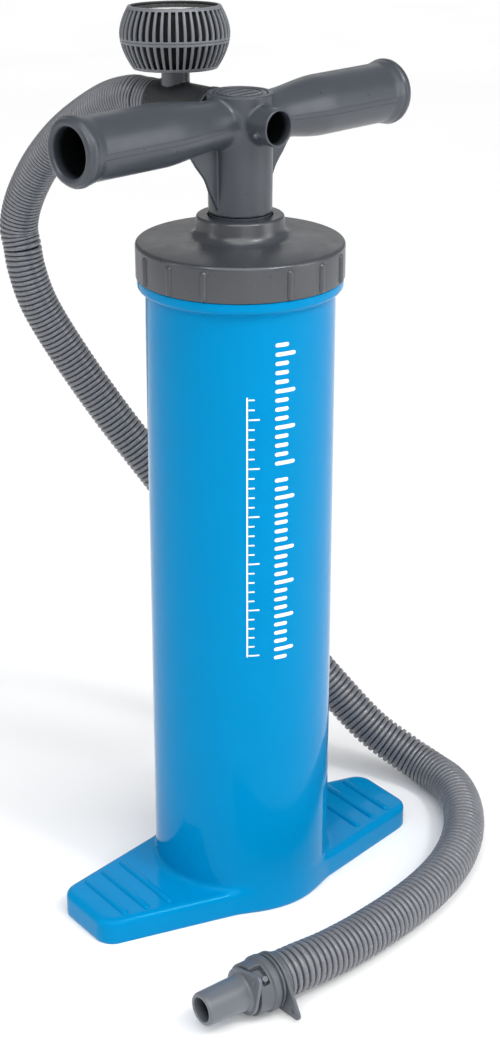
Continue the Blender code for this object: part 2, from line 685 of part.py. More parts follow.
def make_socket(parent):
    """The collar at the hose's end. Its frame's Z runs out towards the nozzle, its X to the front."""
    socket = object_from("hose_socket_lower", lathe([
        (0, 0), (15.0, 0), (15.0, 3.4), (NECK_RING_R, 3.6), (NECK_RING_R, 6.2), (16.3, 6.3), (16.3, 7.4),
        (NECK_RING_R, 7.5), (NECK_RING_R, 9.6), (16.9, 9.8), (16.9, 13.6), (SOCKET_R, 14.2),
        (SOCKET_R, SOCKET_LENGTH - 0.7), (SOCKET_R - 0.7, SOCKET_LENGTH), (0, SOCKET_LENGTH),
    ], SMALL_ROUND), grey_plastic, parent)
    plate, hole = ear(**SOCKET_EAR)
    add(socket, plate)
    cut(socket, rod(SOCKET_BORE_R, (0, 0, -1), (0, 0, SOCKET_LENGTH + 1)))
    cut(socket, hole)
    cut(socket, sector(11, 19, SLOT_TURN, PEG_Z - SLOT_HALF_WIDTH, PEG_Z + SLOT_HALF_WIDTH))
    cut(socket, sector(11, 19, SLOT_MOUTH_TURN, PEG_Z, SOCKET_LENGTH + 1))


def make_nozzle(parent):
    """The nozzle: its plug sits in the collar, its peg in the collar's slot, and its flange has an ear."""
    plug_start, plug_r = SOCKET_LENGTH - 9.5, SOCKET_BORE_R - GAP
    flange = NOZZLE_EAR["start"]
    nozzle = object_from("nozzle", lathe([
        (0, plug_start), (plug_r, plug_start), (plug_r, flange + 0.4), (NOZZLE_ROOT_R + 0.6, flange + 2.4),
        (NOZZLE_ROOT_R, flange + 3.4), (NOZZLE_TIP_R + 0.5, NOZZLE_LENGTH - 1.4),
        (NOZZLE_TIP_R, NOZZLE_LENGTH - 0.4), (NOZZLE_TIP_R - 0.8, NOZZLE_LENGTH), (0, NOZZLE_LENGTH),
    ], SMALL_ROUND), grey_plastic, parent)
    plate, hole = ear(**NOZZLE_EAR)
    add(nozzle, plate)
    turn = NOZZLE_EAR["turn"]
    add(nozzle, rod(PEG_R, polar(10, turn, PEG_Z), polar(16.2, turn, PEG_Z), TINY_ROUND))
    cut(nozzle, rod(NOZZLE_BORE_R, (0, 0, plug_start - 1), (0, 0, NOZZLE_LENGTH + 1)))
    cut(nozzle, hole)


def main():
    clear_scene()
    carriage = empty("carriage_frame")
    handle = empty("handle_frame", (0, 0, 0), (0, 0, HANDLE_YAW))
    gauge = empty("gauge_frame", (0, STEM_Y, GAUGE_PIVOT_Z), (-GAUGE_LEAN_BACK, GAUGE_LEAN_SIDE, 0), handle)
    collar = empty("collar_frame", (SOCKET_X, SOCKET_Y, SOCKET_Z), (math.pi / 2, 0, -math.pi / 2))
    bpy.context.view_layer.update()
    make_barrel()
    make_cap()
    make_cap_seals()
    make_shaft(handle)
    make_piston(handle, carriage)
    make_handle(handle)
    make_hub_cap(handle)
    make_tee(handle)
    make_gauge(gauge)
    make_hose("hose_upper_run", UPPER_ROUTE, handle)
    make_hose("hose_lower_run", LOWER_ROUTE)
    make_socket(collar)
    make_nozzle(collar)


main()
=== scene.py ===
import itertools
import math
from functools import partial

import bmesh
import bpy
import numpy as np
from mathutils import Euler, Matrix, Vector


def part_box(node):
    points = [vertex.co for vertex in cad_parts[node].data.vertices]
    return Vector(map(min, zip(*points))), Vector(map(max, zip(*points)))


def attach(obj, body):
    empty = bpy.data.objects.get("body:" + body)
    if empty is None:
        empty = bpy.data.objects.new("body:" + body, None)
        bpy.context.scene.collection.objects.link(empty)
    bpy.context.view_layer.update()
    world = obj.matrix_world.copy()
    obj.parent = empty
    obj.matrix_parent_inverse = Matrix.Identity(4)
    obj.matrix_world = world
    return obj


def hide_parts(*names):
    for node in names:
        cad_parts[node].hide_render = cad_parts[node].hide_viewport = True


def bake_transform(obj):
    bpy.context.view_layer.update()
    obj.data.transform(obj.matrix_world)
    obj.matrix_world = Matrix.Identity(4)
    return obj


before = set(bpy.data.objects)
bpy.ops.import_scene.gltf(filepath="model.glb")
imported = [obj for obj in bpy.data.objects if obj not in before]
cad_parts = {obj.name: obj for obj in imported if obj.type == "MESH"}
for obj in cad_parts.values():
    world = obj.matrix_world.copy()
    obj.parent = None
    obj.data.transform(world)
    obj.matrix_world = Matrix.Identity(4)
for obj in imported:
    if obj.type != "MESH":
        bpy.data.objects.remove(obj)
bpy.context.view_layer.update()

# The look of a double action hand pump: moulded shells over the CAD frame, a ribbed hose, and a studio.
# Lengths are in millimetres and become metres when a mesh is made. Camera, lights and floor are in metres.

MM = 0.001


def measure(node):
    """A CAD node's lowest and highest corners, in millimetres."""
    low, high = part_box(node)
    return Vector(low) / MM, Vector(high) / MM


def placed(name, data):
    """A new object in the scene from its mesh, light, camera or text."""
    made = bpy.data.objects.new(name, data)
    bpy.context.scene.collection.objects.link(made)
    return made


# ---- places taken from the frame

CAP_LOW, CAP_HIGH = measure("screw_cap")
BARREL_HIGH = measure("pump_barrel")[1]
SHAFT_HIGH = measure("shaft_tube")[1]

BARREL_R = 54.9
BORE_R = 52.4
FLOOR_TOP = 8.0
RIM_R = 59.4
RIM_Z = CAP_LOW.z - 0.3
NECK_R = 55.9
FOOT_HALF_LENGTH = BARREL_HIGH.x
FOOT_HALF_WIDTH = 27.0
FOOT_CORNER_R = 12.0
FOOT_HULL_R = 52.0
FOOT_HEIGHT = 16.0
FOOT_FALL = 0.0022
FOOT_EDGE_R = 3.8
BASE_FILLET = 4.4
TREADS = ((74.5, 28.5), (89.5, 26.0), (103.5, 23.0))
TREAD_R = 2.4
PRINT_LIFT = 0.06

CAP_R = 60.0
CAP_RIM_Z = 415.7
CAP_INNER_R = 56.3
CAP_CEILING = 412.2
COLLAR_R = 25.0
COLLAR_BORE_R = 21.4
LIP_R = 18.6

HANDLE_YAW = math.radians(7.5)
HANDLE_Z = 484.0
HANDLE_HALF = 123.2
SLEEVE_BOTTOM = 432.4
HUB_TOP = 499.3
HUB_R = 18.15
WEB_HALF = 1.15
PORT_Z = 483.7
TEE_Z = 484.5
STEM_Y = 53.0

CAGE_SLOTS = 44

HANDLE_FRAME = Matrix.Rotation(HANDLE_YAW, 4, "Z")
GAUGE_FRAME = HANDLE_FRAME @ Matrix.Translation((0, STEM_Y, 503.0)) @ Euler(
    (math.radians(-2.6), math.radians(1.9), 0)).to_matrix().to_4x4()
COLLAR_FRAME = Matrix.Translation((-68.3, -129.0, 17.0)) @ Euler(
    (math.pi / 2, 0, -math.pi / 2)).to_matrix().to_4x4()

UPPER_ROUTE = [
    (-10.5, 79.6, 484.5), (-11.8, 89.6, 484.4), (-14, 110, 478.5), (-17, 134, 466), (-20.5, 158, 449.5),
    (-24, 180, 428), (-26.5, 196, 405), (-27.4, 203, 385.9), (-26.015, 202.01, 372.15),
]
LOWER_ROUTE = [
    (-25.985, 201.99, 371.85), (-24.8, 201.1, 360.1), (-20.2, 199.2, 341), (-12.6, 196, 322), (2, 187.6, 292),
    (20, 174, 257), (38, 158, 224), (62, 135, 180), (85, 111, 138), (107, 88, 98), (127, 67, 64),
    (143, 44, 37), (156, 23, 22), (163, 3, 14.5), (162, -20, 13.5), (152, -42, 13.5), (136, -63, 13.5),
    (115, -82, 13.5), (91, -97, 13.5), (65, -108, 13.5), (35, -116.5, 13.6), (0, -123.4, 14.1),
    (-30, -127.6, 15.4), (-52, -129, 17), (-68, -129, 17),
]


# ---- camera, floor and light

CAMERA_PLACE = Vector((-0.6576, -0.8980, 0.7107))
CAMERA_TURN = (math.radians(67.06), 0, math.radians(-36.5))
FOCAL_LENGTH = 68.76
SENSOR_WIDTH = 36
LIGHTS_AIM = Vector((0, 0, 0.25))
SUN_LEAN = 0.60
FLOOR_HALF = 25.0
FLOOR_DROP = 0.0002


def make_camera():
    data = bpy.data.cameras.new("camera")
    data.lens = FOCAL_LENGTH
    data.sensor_width = SENSOR_WIDTH
    data.clip_end = 50
    made = placed("camera", data)
    made.location = CAMERA_PLACE
    made.rotation_euler = CAMERA_TURN
    bpy.context.scene.camera = made


def softbox(name, turn, distance, height, size, radiance):
    """A rectangular light. Its turn is in degrees round the object from the camera's side, to the right."""
    data = bpy.data.lights.new(name, "AREA")
    data.shape = "RECTANGLE"
    data.size, data.size_y = size
    data.energy = radiance * math.pi * size[0] * size[1]
    made = placed(name, data)
    angle = math.atan2(CAMERA_PLACE.y, CAMERA_PLACE.x) + math.radians(turn)
    made.location = (distance * math.cos(angle), distance * math.sin(angle), height)
    made.rotation_euler = (LIGHTS_AIM - made.location).to_track_quat("-Z", "Y").to_euler()


def make_studio():
    world = bpy.data.worlds.new("studio")
    world.use_nodes = True
    put(world.node_tree.nodes["Background"], {"Color": (1.0, 1.0, 1.0, 1.0), "Strength": 0.30})
    bpy.context.scene.world = world
    softbox("front_box", 20, 1.90, 0.75, (1.2, 1.0), 1.2)
    softbox("right_box", 75, 1.70, 0.80, (0.7, 1.2), 3.4)
    softbox("left_box", -75, 1.60, 0.90, (0.35, 1.1), 2.4)
    softbox("back_box", 180, 4.60, 2.30, (4.5, 2.0), 0.55)
    softbox("key_right", 50, 1.10, 1.50, (0.26, 0.30), 29.0)
    softbox("key_left", -40, 1.30, 1.70, (0.22, 0.22), 14.0)
    sun = bpy.data.lights.new("ceiling", "SUN")
    sun.energy = 2.4
    sun.angle = math.radians(70)
    towards = CAMERA_PLACE.xy.to_3d() * SUN_LEAN + Vector((0, 0, 1))
    placed("ceiling", sun).rotation_euler = towards.to_track_quat("Z", "Y").to_euler()

    bm = bmesh.new()
    bmesh.ops.create_grid(bm, x_segments=2, y_segments=2, size=FLOOR_HALF)
    mesh = bpy.data.meshes.new("floor")
    bm.to_mesh(mesh)
    bm.free()
    floor = placed("floor", mesh)
    floor.location = (0, 0, -FLOOR_DROP)
    mesh.materials.append(paper("floor_white"))

    bpy.context.scene.view_settings.view_transform = "Standard"
    bpy.context.scene.view_settings.look = "None"


# ---- materials

def put(node, values):
    """Sets a node's inputs by name."""
    for name, value in values.items():
        node.inputs[name].default_value = value


def shader_of(name):
    """A new node material: (material, nodes, links, its Principled shader)."""
    made = bpy.data.materials.new(name)
    made.use_nodes = True
    tree = made.node_tree
    return made, tree.nodes, tree.links, tree.nodes["Principled BSDF"]


def noise(nodes, links, size, detail=3.0, stretch=(1, 1, 1)):
    """Noise fixed to the object, its cells about the given size in millimetres."""
    place = nodes.new("ShaderNodeTexCoord")
    scale = nodes.new("ShaderNodeMapping")
    put(scale, {"Scale": stretch})
    pattern = nodes.new("ShaderNodeTexNoise")
    put(pattern, {"Scale": 1 / (size * MM), "Detail": detail})
    links.new(place.outputs["Object"], scale.inputs["Vector"])
    links.new(scale.outputs["Vector"], pattern.inputs["Vector"])
    return pattern.outputs["Fac"]


def spread(nodes, links, source, low, high, out_low, out_high):
    """Maps a noise value to a range."""
    step = nodes.new("ShaderNodeMapRange")
    put(step, {"From Min": low, "From Max": high, "To Min": out_low, "To Max": out_high})
    links.new(source, step.inputs["Value"])
    return step.outputs["Result"]


def tones(nodes, links, source, dark, light, low=0.35, high=0.65):
    """Blends two colours by a noise value."""
    ramp = nodes.new("ShaderNodeValToRGB")
    ramp.color_ramp.elements[0].position = low
    ramp.color_ramp.elements[0].color = (*dark, 1)
    ramp.color_ramp.elements[1].position = high
    ramp.color_ramp.elements[1].color = (*light, 1)
    links.new(source, ramp.inputs["Fac"])
    return ramp.outputs["Color"]


def relief(nodes, links, source, depth, strength, below=None):
    """A bump of the given depth in millimetres."""
    bump = nodes.new("ShaderNodeBump")
    put(bump, {"Strength": strength, "Distance": depth * MM})
    links.new(source, bump.inputs["Height"])
    if below:
        links.new(below, bump.inputs["Normal"])
    return bump.outputs["Normal"]


def moulded(name, colour, roughness, grain=0.5, depth=0.012, variation=0.06, specular=0.5, tint=(1, 1, 1)):
    """Moulded plastic: slow colour and gloss changes over the part, a fine texture and a long soft ripple."""
    made, nodes, links, shader = shader_of(name)
    patches = noise(nodes, links, 22, 4)
    dark = [c * (1 - variation) for c in colour]
    light = [min(1, c * (1 + variation)) for c in colour]
    links.new(tones(nodes, links, patches, dark, light), shader.inputs["Base Color"])
    smudges = noise(nodes, links, 9, 5)
    gloss = spread(nodes, links, smudges, 0.3, 0.7, roughness * 0.85, roughness * 1.18)
    links.new(gloss, shader.inputs["Roughness"])
    fine = relief(nodes, links, noise(nodes, links, grain, 2), depth, 0.5)
    flow = relief(nodes, links, noise(nodes, links, 14, 1, (1, 1, 0.35)), 0.05, 0.25, fine)
    links.new(flow, shader.inputs["Normal"])
    put(shader, {"Specular IOR Level": specular, "Specular Tint": (*tint, 1)})
    return made


def with_painted_shade(paint, shade, name):
    """A paint with painted shade: its colour multiplied by a shade wherever the mesh's own shade attribute is
    1.
    """
    made = paint(name)
    nodes, links = made.node_tree.nodes, made.node_tree.links
    shader = nodes["Principled BSDF"]
    base = shader.inputs["Base Color"].links[0].from_socket
    groove = nodes.new("ShaderNodeAttribute")
    groove.attribute_name = "groove"
    mix = nodes.new("ShaderNodeMix")
    mix.data_type = "RGBA"
    mix.blend_type = "MULTIPLY"
    first, second = [socket for socket in mix.inputs if socket.type == "RGBA"]
    second.default_value = (*shade, 1)
    links.new(groove.outputs["Fac"], mix.inputs["Factor"])
    links.new(base, first)
    links.new(next(socket for socket in mix.outputs if socket.type == "RGBA"), shader.inputs["Base Color"])
    return made


blue_gloss = partial(moulded, colour=(0.0, 0.215, 0.475), roughness=0.08, grain=0.9, depth=0.003,
                     variation=0.012, specular=0.14, tint=(0.22, 0.80, 1.0))
handle_grey = partial(moulded, colour=(0.043, 0.050, 0.061), roughness=0.32, variation=0.02)
cap_grey = partial(moulded, colour=(0.036, 0.040, 0.047), roughness=0.31, grain=0.6, depth=0.004,
                   variation=0.012, specular=0.75)
stem_grey = partial(moulded, colour=(0.074, 0.080, 0.090), roughness=0.30, variation=0.02, specular=0.6)
cage_grey = partial(moulded, colour=(0.135, 0.143, 0.158), roughness=0.40, variation=0.03)
hose_grey = partial(moulded, colour=(0.140, 0.146, 0.163), roughness=0.27, grain=0.6, depth=0.02,
                    variation=0.05, specular=0.7)
spout_grey = partial(moulded, colour=(0.122, 0.134, 0.153), roughness=0.32, variation=0.03)
collar_grey = partial(moulded, colour=(0.090, 0.100, 0.114), roughness=0.42, variation=0.03)
dull_black = partial(moulded, colour=(0.006, 0.006, 0.007), roughness=0.62, depth=0.05,
                     variation=0.15, specular=0.25)
dial_white = partial(moulded, colour=(0.78, 0.78, 0.77), roughness=0.5, depth=0.01, variation=0.02)
print_white = partial(moulded, colour=(0.86, 0.88, 0.90), roughness=0.42, depth=0.015,
                      variation=0.02)
print_black = partial(moulded, colour=(0.015, 0.015, 0.016), roughness=0.55, depth=0.01,
                      variation=0.1)
# Painted shade, darker where the mesh says so: on the tee's sleeve, in the hose's grooves, and down the
# bores.
tee_grey = partial(with_painted_shade, stem_grey, (0.26, 0.26, 0.26))
ribbed_grey = partial(with_painted_shade, hose_grey, (0.12, 0.12, 0.13))
bored_grey = partial(with_painted_shade, handle_grey, (0.06, 0.06, 0.06))
nozzle_grey = partial(with_painted_shade, spout_grey, (0.08, 0.08, 0.08))


def brushed_zinc(name):
    made, nodes, links, shader = shader_of(name)
    lines = noise(nodes, links, 0.6, 4, (1, 1, 8))
    links.new(tones(nodes, links, lines, (0.42, 0.43, 0.45), (0.62, 0.63, 0.65)), shader.inputs["Base Color"])
    links.new(spread(nodes, links, lines, 0.3, 0.7, 0.24, 0.42), shader.inputs["Roughness"])
    links.new(relief(nodes, links, lines, 0.02, 0.4), shader.inputs["Normal"])
    put(shader, {"Metallic": 1.0})
    return made


def clear_lens(name):
    made, nodes, links, shader = shader_of(name)
    haze = noise(nodes, links, 6, 3)
    links.new(spread(nodes, links, haze, 0.3, 0.7, 0.03, 0.06), shader.inputs["Roughness"])
    put(shader, {"Base Color": (0.90, 0.92, 0.92, 1), "Alpha": 0.06, "IOR": 1.46})
    return made


def paper(name):
    made, nodes, links, shader = shader_of(name)
    cloud = noise(nodes, links, 400, 2)
    shades = tones(nodes, links, cloud, (0.90, 0.90, 0.905), (0.92, 0.92, 0.92))
    links.new(shades, shader.inputs["Base Color"])
    put(shader, {"Roughness": 0.9, "Specular IOR Level": 0.1})
    put(shader, {"Emission Color": (1, 1, 1, 1), "Emission Strength": 0.04})
    return made


# ---- meshes

def shown(name, mesh, paint, body, nodes=()):
    """Puts a mesh in the scene as a piece that rides on a body and stands for some CAD nodes."""
    made = placed(name, mesh)
    mesh.materials.append(paint(name))
    if nodes:
        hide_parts(*nodes)
    if body:
        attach(made, body)
    return made


def meshed(name, bm):
    """A mesh in metres from a bmesh in millimetres."""
    bmesh.ops.scale(bm, vec=(MM, MM, MM), verts=bm.verts)
    mesh = bpy.data.meshes.new(name)
    bm.to_mesh(mesh)
    bm.free()
    return mesh


def piece(name, bm, paint, body, nodes=(), place=None, sharp=40):
    """A piece from a bmesh in millimetres, with hard edges where faces turn by more than the sharp angle."""
    if place:
        bmesh.ops.transform(bm, matrix=place, verts=bm.verts)
    mesh = meshed(name, bm)
    mesh.shade_smooth()
    mesh.set_sharp_from_angle(angle=math.radians(sharp))
    return shown(name, mesh, paint, body, nodes)


def rounded(corners, steps=5):
    """A profile from (radius, height, fillet) corners, with each fillet as an arc."""
    points = []
    for i, (x, y, fillet) in enumerate(corners):
        here = Vector((x, y))
        if not fillet:
            points.append((x, y))
            continue
        before = (Vector(corners[i - 1][:2]) - here).normalized()
        after = (Vector(corners[(i + 1) % len(corners)][:2]) - here).normalized()
        half = before.angle(after) / 2
        centre = here + (before + after).normalized() * (fillet / math.sin(half))
        start = here + before * (fillet / math.tan(half)) - centre
        end = here + after * (fillet / math.tan(half)) - centre
        first = math.atan2(start.y, start.x)
        turn = (math.atan2(end.y, end.x) - first + math.pi) % math.tau - math.pi
        for k in range(steps + 1):
            angle = first + turn * k / steps
            points.append((centre.x + fillet * math.cos(angle), centre.y + fillet * math.sin(angle)))
    return points


def face_out(bm):
    bmesh.ops.recalc_face_normals(bm, faces=bm.faces)


def bridge(bm, rings):
    """Faces between each ring of points and the next."""
    for low, high in zip(rings, rings[1:]):
        for i in range(len(low)):
            j = (i + 1) % len(low)
            bm.faces.new((low[i], low[j], high[j], high[i]))


def turned(profile, steps=128, closed=True):
    """A bmesh turned about Z from (radius, height) points. An open profile starts and ends on the axis."""
    bm = bmesh.new()
    angles = [math.tau * i / steps for i in range(steps)]
    rings = []
    for radius, height in profile:
        ring = angles[:1] if radius < 1e-6 else angles
        rings.append([bm.verts.new((radius * math.cos(a), radius * math.sin(a), height)) for a in ring])
    pairs = list(zip(rings, rings[1:]))
    if closed:
        pairs.append((rings[-1], rings[0]))
    for low, high in pairs:
        for i in range(steps):
            j = (i + 1) % steps
            corners = [low[i % len(low)], low[j % len(low)], high[j % len(high)], high[i % len(high)]]
            corners = [corner for n, corner in enumerate(corners) if corner not in corners[:n]]
            if len(corners) > 2:
                bm.faces.new(corners)
    face_out(bm)
    return bm


def box_of(size):
    """A box round the origin."""
    bm = bmesh.new()
    bmesh.ops.create_cube(bm, size=1)
    bmesh.ops.scale(bm, vec=size, verts=bm.verts)
    return bm


def join(bm, other, place=None):
    """Adds another bmesh to this one, as a solid of its own."""
    if place:
        bmesh.ops.transform(other, matrix=place, verts=other.verts)
    mesh = bpy.data.meshes.new("joined")
    other.to_mesh(mesh)
    other.free()
    bm.from_mesh(mesh)
    bpy.data.meshes.remove(mesh)


def capsule(start, end, radius, rings=5, steps=16):
    """A round-ended bar between two points."""
    span = Vector(end) - Vector(start)
    profile = [(radius * math.sin(a), -radius * math.cos(a)) for a in np.linspace(0, math.pi / 2, rings)]
    profile += [(r, span.length - h) for r, h in reversed(profile)]
    bm = turned(profile, steps, closed=False)
    turn = span.to_track_quat("Z", "Y").to_matrix().to_4x4()
    bmesh.ops.transform(bm, matrix=Matrix.Translation(Vector(start)) @ turn, verts=bm.verts)
    return bm


def low_bar(start, end, height, radius, flatness, **steps):
    """A round-ended bar lying level at a height, with its height multiplied by a flatness."""
    bm = capsule((*start, height), (*end, height), radius, **steps)
    level = Matrix.Translation((0, 0, -height))
    bmesh.ops.scale(bm, vec=(1, 1, flatness), space=level, verts=bm.verts)
    return bm


# ---- skins from distance fields

def soft_union(first, second, reach):
    """Two fields joined with a fillet that reaches that far along each."""
    blend = np.maximum(reach - np.abs(first - second), 0) / reach
    return np.minimum(first, second) - blend * blend * reach / 4


def soft_cut(body, tool, reach):
    return -soft_union(-body, tool, reach)


def edged(side, ends, radius):
    """The overlap of two fields, with a round edge where they meet."""
    a = side + radius
    b = ends + radius
    return np.minimum(np.maximum(a, b), 0) + np.hypot(np.maximum(a, 0), np.maximum(b, 0)) - radius


def reach_of(p):
    """How far each point stands from the Z axis."""
    return np.hypot(p[:, 0], p[:, 1])


def between(p, low, high, axis=2):
    """The field of a slab between two places along an axis."""
    return np.maximum(low - p[:, axis], p[:, axis] - high)


def bar(p, centre, axis, radius, low, high, edge=0.5):
    """A round bar along one axis (0, 1 or 2), its radius a number or a value for each point."""
    others = [n for n in range(3) if n != axis]
    away = np.hypot(*(p[:, n] - centre[n] for n in others))
    return edged(away - radius, between(p, low, high, axis), edge)


def slope(field, p, reach=0.05):
    """The field's gradient at each point."""
    sides = []
    for axis in np.eye(3) * reach:
        sides.append((field(p + axis) - field(p - axis)) / (2 * reach))
    return np.stack(sides, 1)


def settle(field, p, limit, rounds=4):
    """Moves points on to the surface where the field is zero."""
    for _ in range(rounds):
        rise = slope(field, p)
        size = np.maximum(np.sum(rise * rise, 1), 0.05)
        move = (field(p) / size)[:, None] * rise
        length = np.maximum(np.linalg.norm(move, axis=1), 1e-9)
        p = p - move * np.minimum(1, limit / length)[:, None]
    return p


def skin(field, low, high, step):
    """Points and quads of the surface where the field is zero: one point in each cell that it crosses."""
    axes = [np.arange(a - 2 * step, b + 2.5 * step, step) for a, b in zip(low, high)]
    shape = tuple(len(axis) for axis in axes)
    value = np.empty(shape)
    flat = np.stack(np.meshgrid(axes[1], axes[2], indexing="ij"), -1).reshape(-1, 2)
    for i, x in enumerate(axes[0]):
        value[i] = field(np.column_stack([np.full(len(flat), x), flat])).reshape(shape[1:])
    inside = value < 0
    cells = tuple(n - 1 for n in shape)
    count = np.zeros(cells, int)
    corner = {}
    for key in itertools.product((0, 1), repeat=3):
        part = tuple(slice(k, k + n) for k, n in zip(key, cells))
        corner[key] = value[part]
        count += inside[part]
    mixed = (count > 0) & (count < 8)
    index = np.full(cells, -1)
    index[mixed] = np.arange(mixed.sum())
    total = np.zeros((mixed.sum(), 3))
    found = np.zeros(mixed.sum())
    for key, axis in itertools.product(corner, range(3)):
        if key[axis]:
            continue
        other = tuple(1 if n == axis else k for n, k in enumerate(key))
        a, b = corner[key][mixed], corner[other][mixed]
        crossed = (a < 0) != (b < 0)
        share = np.where(crossed, a / np.where(crossed, a - b, 1), 0)
        spot = np.array(key, float) + share[:, None] * np.eye(3)[axis]
        total += spot * crossed[:, None]
        found += crossed
    points = np.argwhere(mixed) + total / found[:, None]
    points = points * step + np.array([axis[0] for axis in axes])
    quads = []
    for turn in ((0, 1, 2), (1, 2, 0), (2, 0, 1)):
        solid, number = inside.transpose(turn), index.transpose(turn)
        near, far = solid[:-1, 1:-1, 1:-1], solid[1:, 1:-1, 1:-1]
        i, j, k = np.nonzero(near != far)
        ring = [number[i, j, k], number[i, j + 1, k], number[i, j + 1, k + 1], number[i, j, k + 1]]
        ring = np.stack(ring, 1)
        out = near[i, j, k]
        quads.append(np.where(out[:, None], ring, ring[:, ::-1]))
    points = settle(field, points, step * 0.5)
    return points, np.concatenate(quads)


def skinned(name, field, low, high, step, paint, body, nodes=(), place=None, groove=None):
    """A piece from a distance field in millimetres. An optional function says which points get painted shade.
    """
    points, quads = skin(field, low, high, step)
    shade = groove(points) if groove else None
    outward = slope(field, points)
    turn = np.array(place or Matrix.Identity(4))
    points = (points @ turn[:3, :3].T + turn[:3, 3]) * MM
    outward = outward @ turn[:3, :3].T
    mesh = bpy.data.meshes.new(name)
    mesh.from_pydata(points.tolist(), [], quads.tolist())
    mesh.shade_smooth()
    outward /= np.linalg.norm(outward, axis=1)[:, None]
    mesh.normals_split_custom_set_from_vertices(outward.tolist())
    if shade is not None:
        mesh.attributes.new("groove", "FLOAT", "POINT").data.foreach_set("value", shade.astype(float))
    shown(name, mesh, paint, body, nodes)


# ---- hose

def smooth_path(points, steps_each=40):
    """Points along a Catmull-Rom curve through the given ones."""
    knots = [np.array(p, float) for p in points]
    knots = [2 * knots[0] - knots[1], *knots, 2 * knots[-1] - knots[-2]]
    path = []
    for a, b, c, d in zip(knots, knots[1:], knots[2:], knots[3:]):
        for t in np.arange(steps_each) / steps_each:
            bend = (2 * a - 5 * b + 4 * c - d) * t * t + (3 * b - a - 3 * c + d) * t ** 3
            path.append(0.5 * (2 * b + (c - a) * t + bend))
    return np.array([*path, knots[-2]])


def run_lengths(path):
    return np.concatenate([[0], np.cumsum(np.linalg.norm(np.diff(path, axis=0), axis=1))])


RIB_RINGS = (0.0, 0.07, 0.13, 0.22, 0.38, 0.62, 0.78, 0.87, 0.93)
RIB_DEPTH = (1.0, 0.90, 0.45, 0.15, 0.0, 0.0, 0.15, 0.45, 0.90)


def ribbed_hose(name, route, stations, sides=48):
    """A corrugated tube. Each station is (share of the length, rib pitch, outer radius, valley depth)."""
    path = smooth_path(route)
    lengths = run_lengths(path)
    total = lengths[-1]
    shares, pitches, radii, depths = (np.array(column) for column in zip(*stations))
    at = np.linspace(0, total, 4000)
    turns = np.diff(at) / np.interp(at[1:] / total, shares, pitches)
    phase = np.concatenate([[0], np.cumsum(turns)])
    ribs = round(phase[-1])
    phase *= ribs / phase[-1]
    marks = [rib + step for rib in range(ribs) for step in RIB_RINGS] + [ribs]
    drops = list(RIB_DEPTH) * ribs + [1.0]
    places = np.interp(marks, phase, at)
    centres = np.stack([np.interp(places, lengths, path[:, n]) for n in range(3)], 1)
    heading = np.gradient(centres, axis=0)
    heading /= np.linalg.norm(heading, axis=1)[:, None]
    kernel = np.hanning(19) / np.hanning(19).sum()
    padded = np.pad(heading, ((9, 9), (0, 0)), mode="edge")
    heading = np.stack([np.convolve(padded[:, n], kernel, "valid") for n in range(3)], 1)
    bm = bmesh.new()
    # A float layer of painted shade: each ring is painted darker the deeper it sits in a rib's valley.
    groove = bm.verts.layers.float.new("groove")
    side = Vector((0, 0, 1)).cross(Vector(heading[0])).normalized()
    rings = []
    for centre, ahead, place, drop in zip(centres, heading, places, drops):
        ahead = Vector(ahead).normalized()
        side = (side - ahead * side.dot(ahead)).normalized()
        up = ahead.cross(side)
        share = place / total
        radius = np.interp(share, shares, radii) - drop * np.interp(share, shares, depths)
        rings.append([
            bm.verts.new(Vector(centre) + side * (radius * math.cos(a)) + up * (radius * math.sin(a)))
            for a in np.linspace(0, math.tau, sides, endpoint=False)])
        for vert in rings[-1]:
            vert[groove] = drop ** 1.5
    bridge(bm, rings)
    bm.faces.new(rings[0][::-1])
    bm.faces.new(rings[-1])
    face_out(bm)
    return bm, path * MM, float(total * MM)


UPPER_STATIONS = [(0.0, 2.5, 12.6, 1.3), (0.35, 2.4, 12.4, 1.2), (0.7, 2.7, 12.3, 1.2), (1.0, 3.1, 12.4, 1.3)]
LOWER_STATIONS = [
    (0.0, 3.1, 12.4, 1.3), (0.2, 3.6, 12.6, 1.5), (0.45, 4.0, 13.1, 1.7), (0.75, 4.1, 13.5, 1.8),
    (1.0, 4.2, 14.2, 1.9),
]
BLEND_END_Z = 0.04  # in metres


def make_hose(name, node, route, stations, bodies, blend_end, **facts):
    """One cord, made from its route and stations as a piece of its own."""
    bm, path, length = ribbed_hose(name, route, stations)
    made = piece(name, bm, ribbed_grey, None, (node,), sharp=80)
    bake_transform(made)


def make_hoses():
    """The two cords. They meet in a rib's valley behind the barrel, level with the carriage's own frame."""
    make_hose("hose_upper", "hose_upper_run", UPPER_ROUTE, UPPER_STATIONS, ("handle", "carriage"),
              Vector(UPPER_ROUTE[-1]) * MM, far_end="object", lay="hanging")
    top = Vector(LOWER_ROUTE[0]) * MM
    make_hose("hose_lower", "hose_lower_run", LOWER_ROUTE, LOWER_STATIONS, ("carriage", "barrel"),
              Vector((top.x, top.y, BLEND_END_Z)), far_end="fitting", lay="loose",
              with_pieces=["hose_collar", "hose_nozzle"])


# ---- barrel

FOOT_CIRCLES = [(0, 0, FOOT_HULL_R)] + [
    (sx * (FOOT_HALF_LENGTH - FOOT_CORNER_R), sy * (FOOT_HALF_WIDTH - FOOT_CORNER_R), FOOT_CORNER_R)
    for sx in (-1, 1) for sy in (-1, 1)]


def foot_reach():
    """The foot's outline as directions and how far it stands out along each."""
    angles = np.linspace(0, math.tau, 720, endpoint=False)
    ways = np.stack([np.cos(angles), np.sin(angles)], 1)
    reach = np.max([ways @ np.array(c[:2]) + c[2] for c in FOOT_CIRCLES], axis=0)
    return ways, reach


FOOT_WAYS, FOOT_REACH = foot_reach()


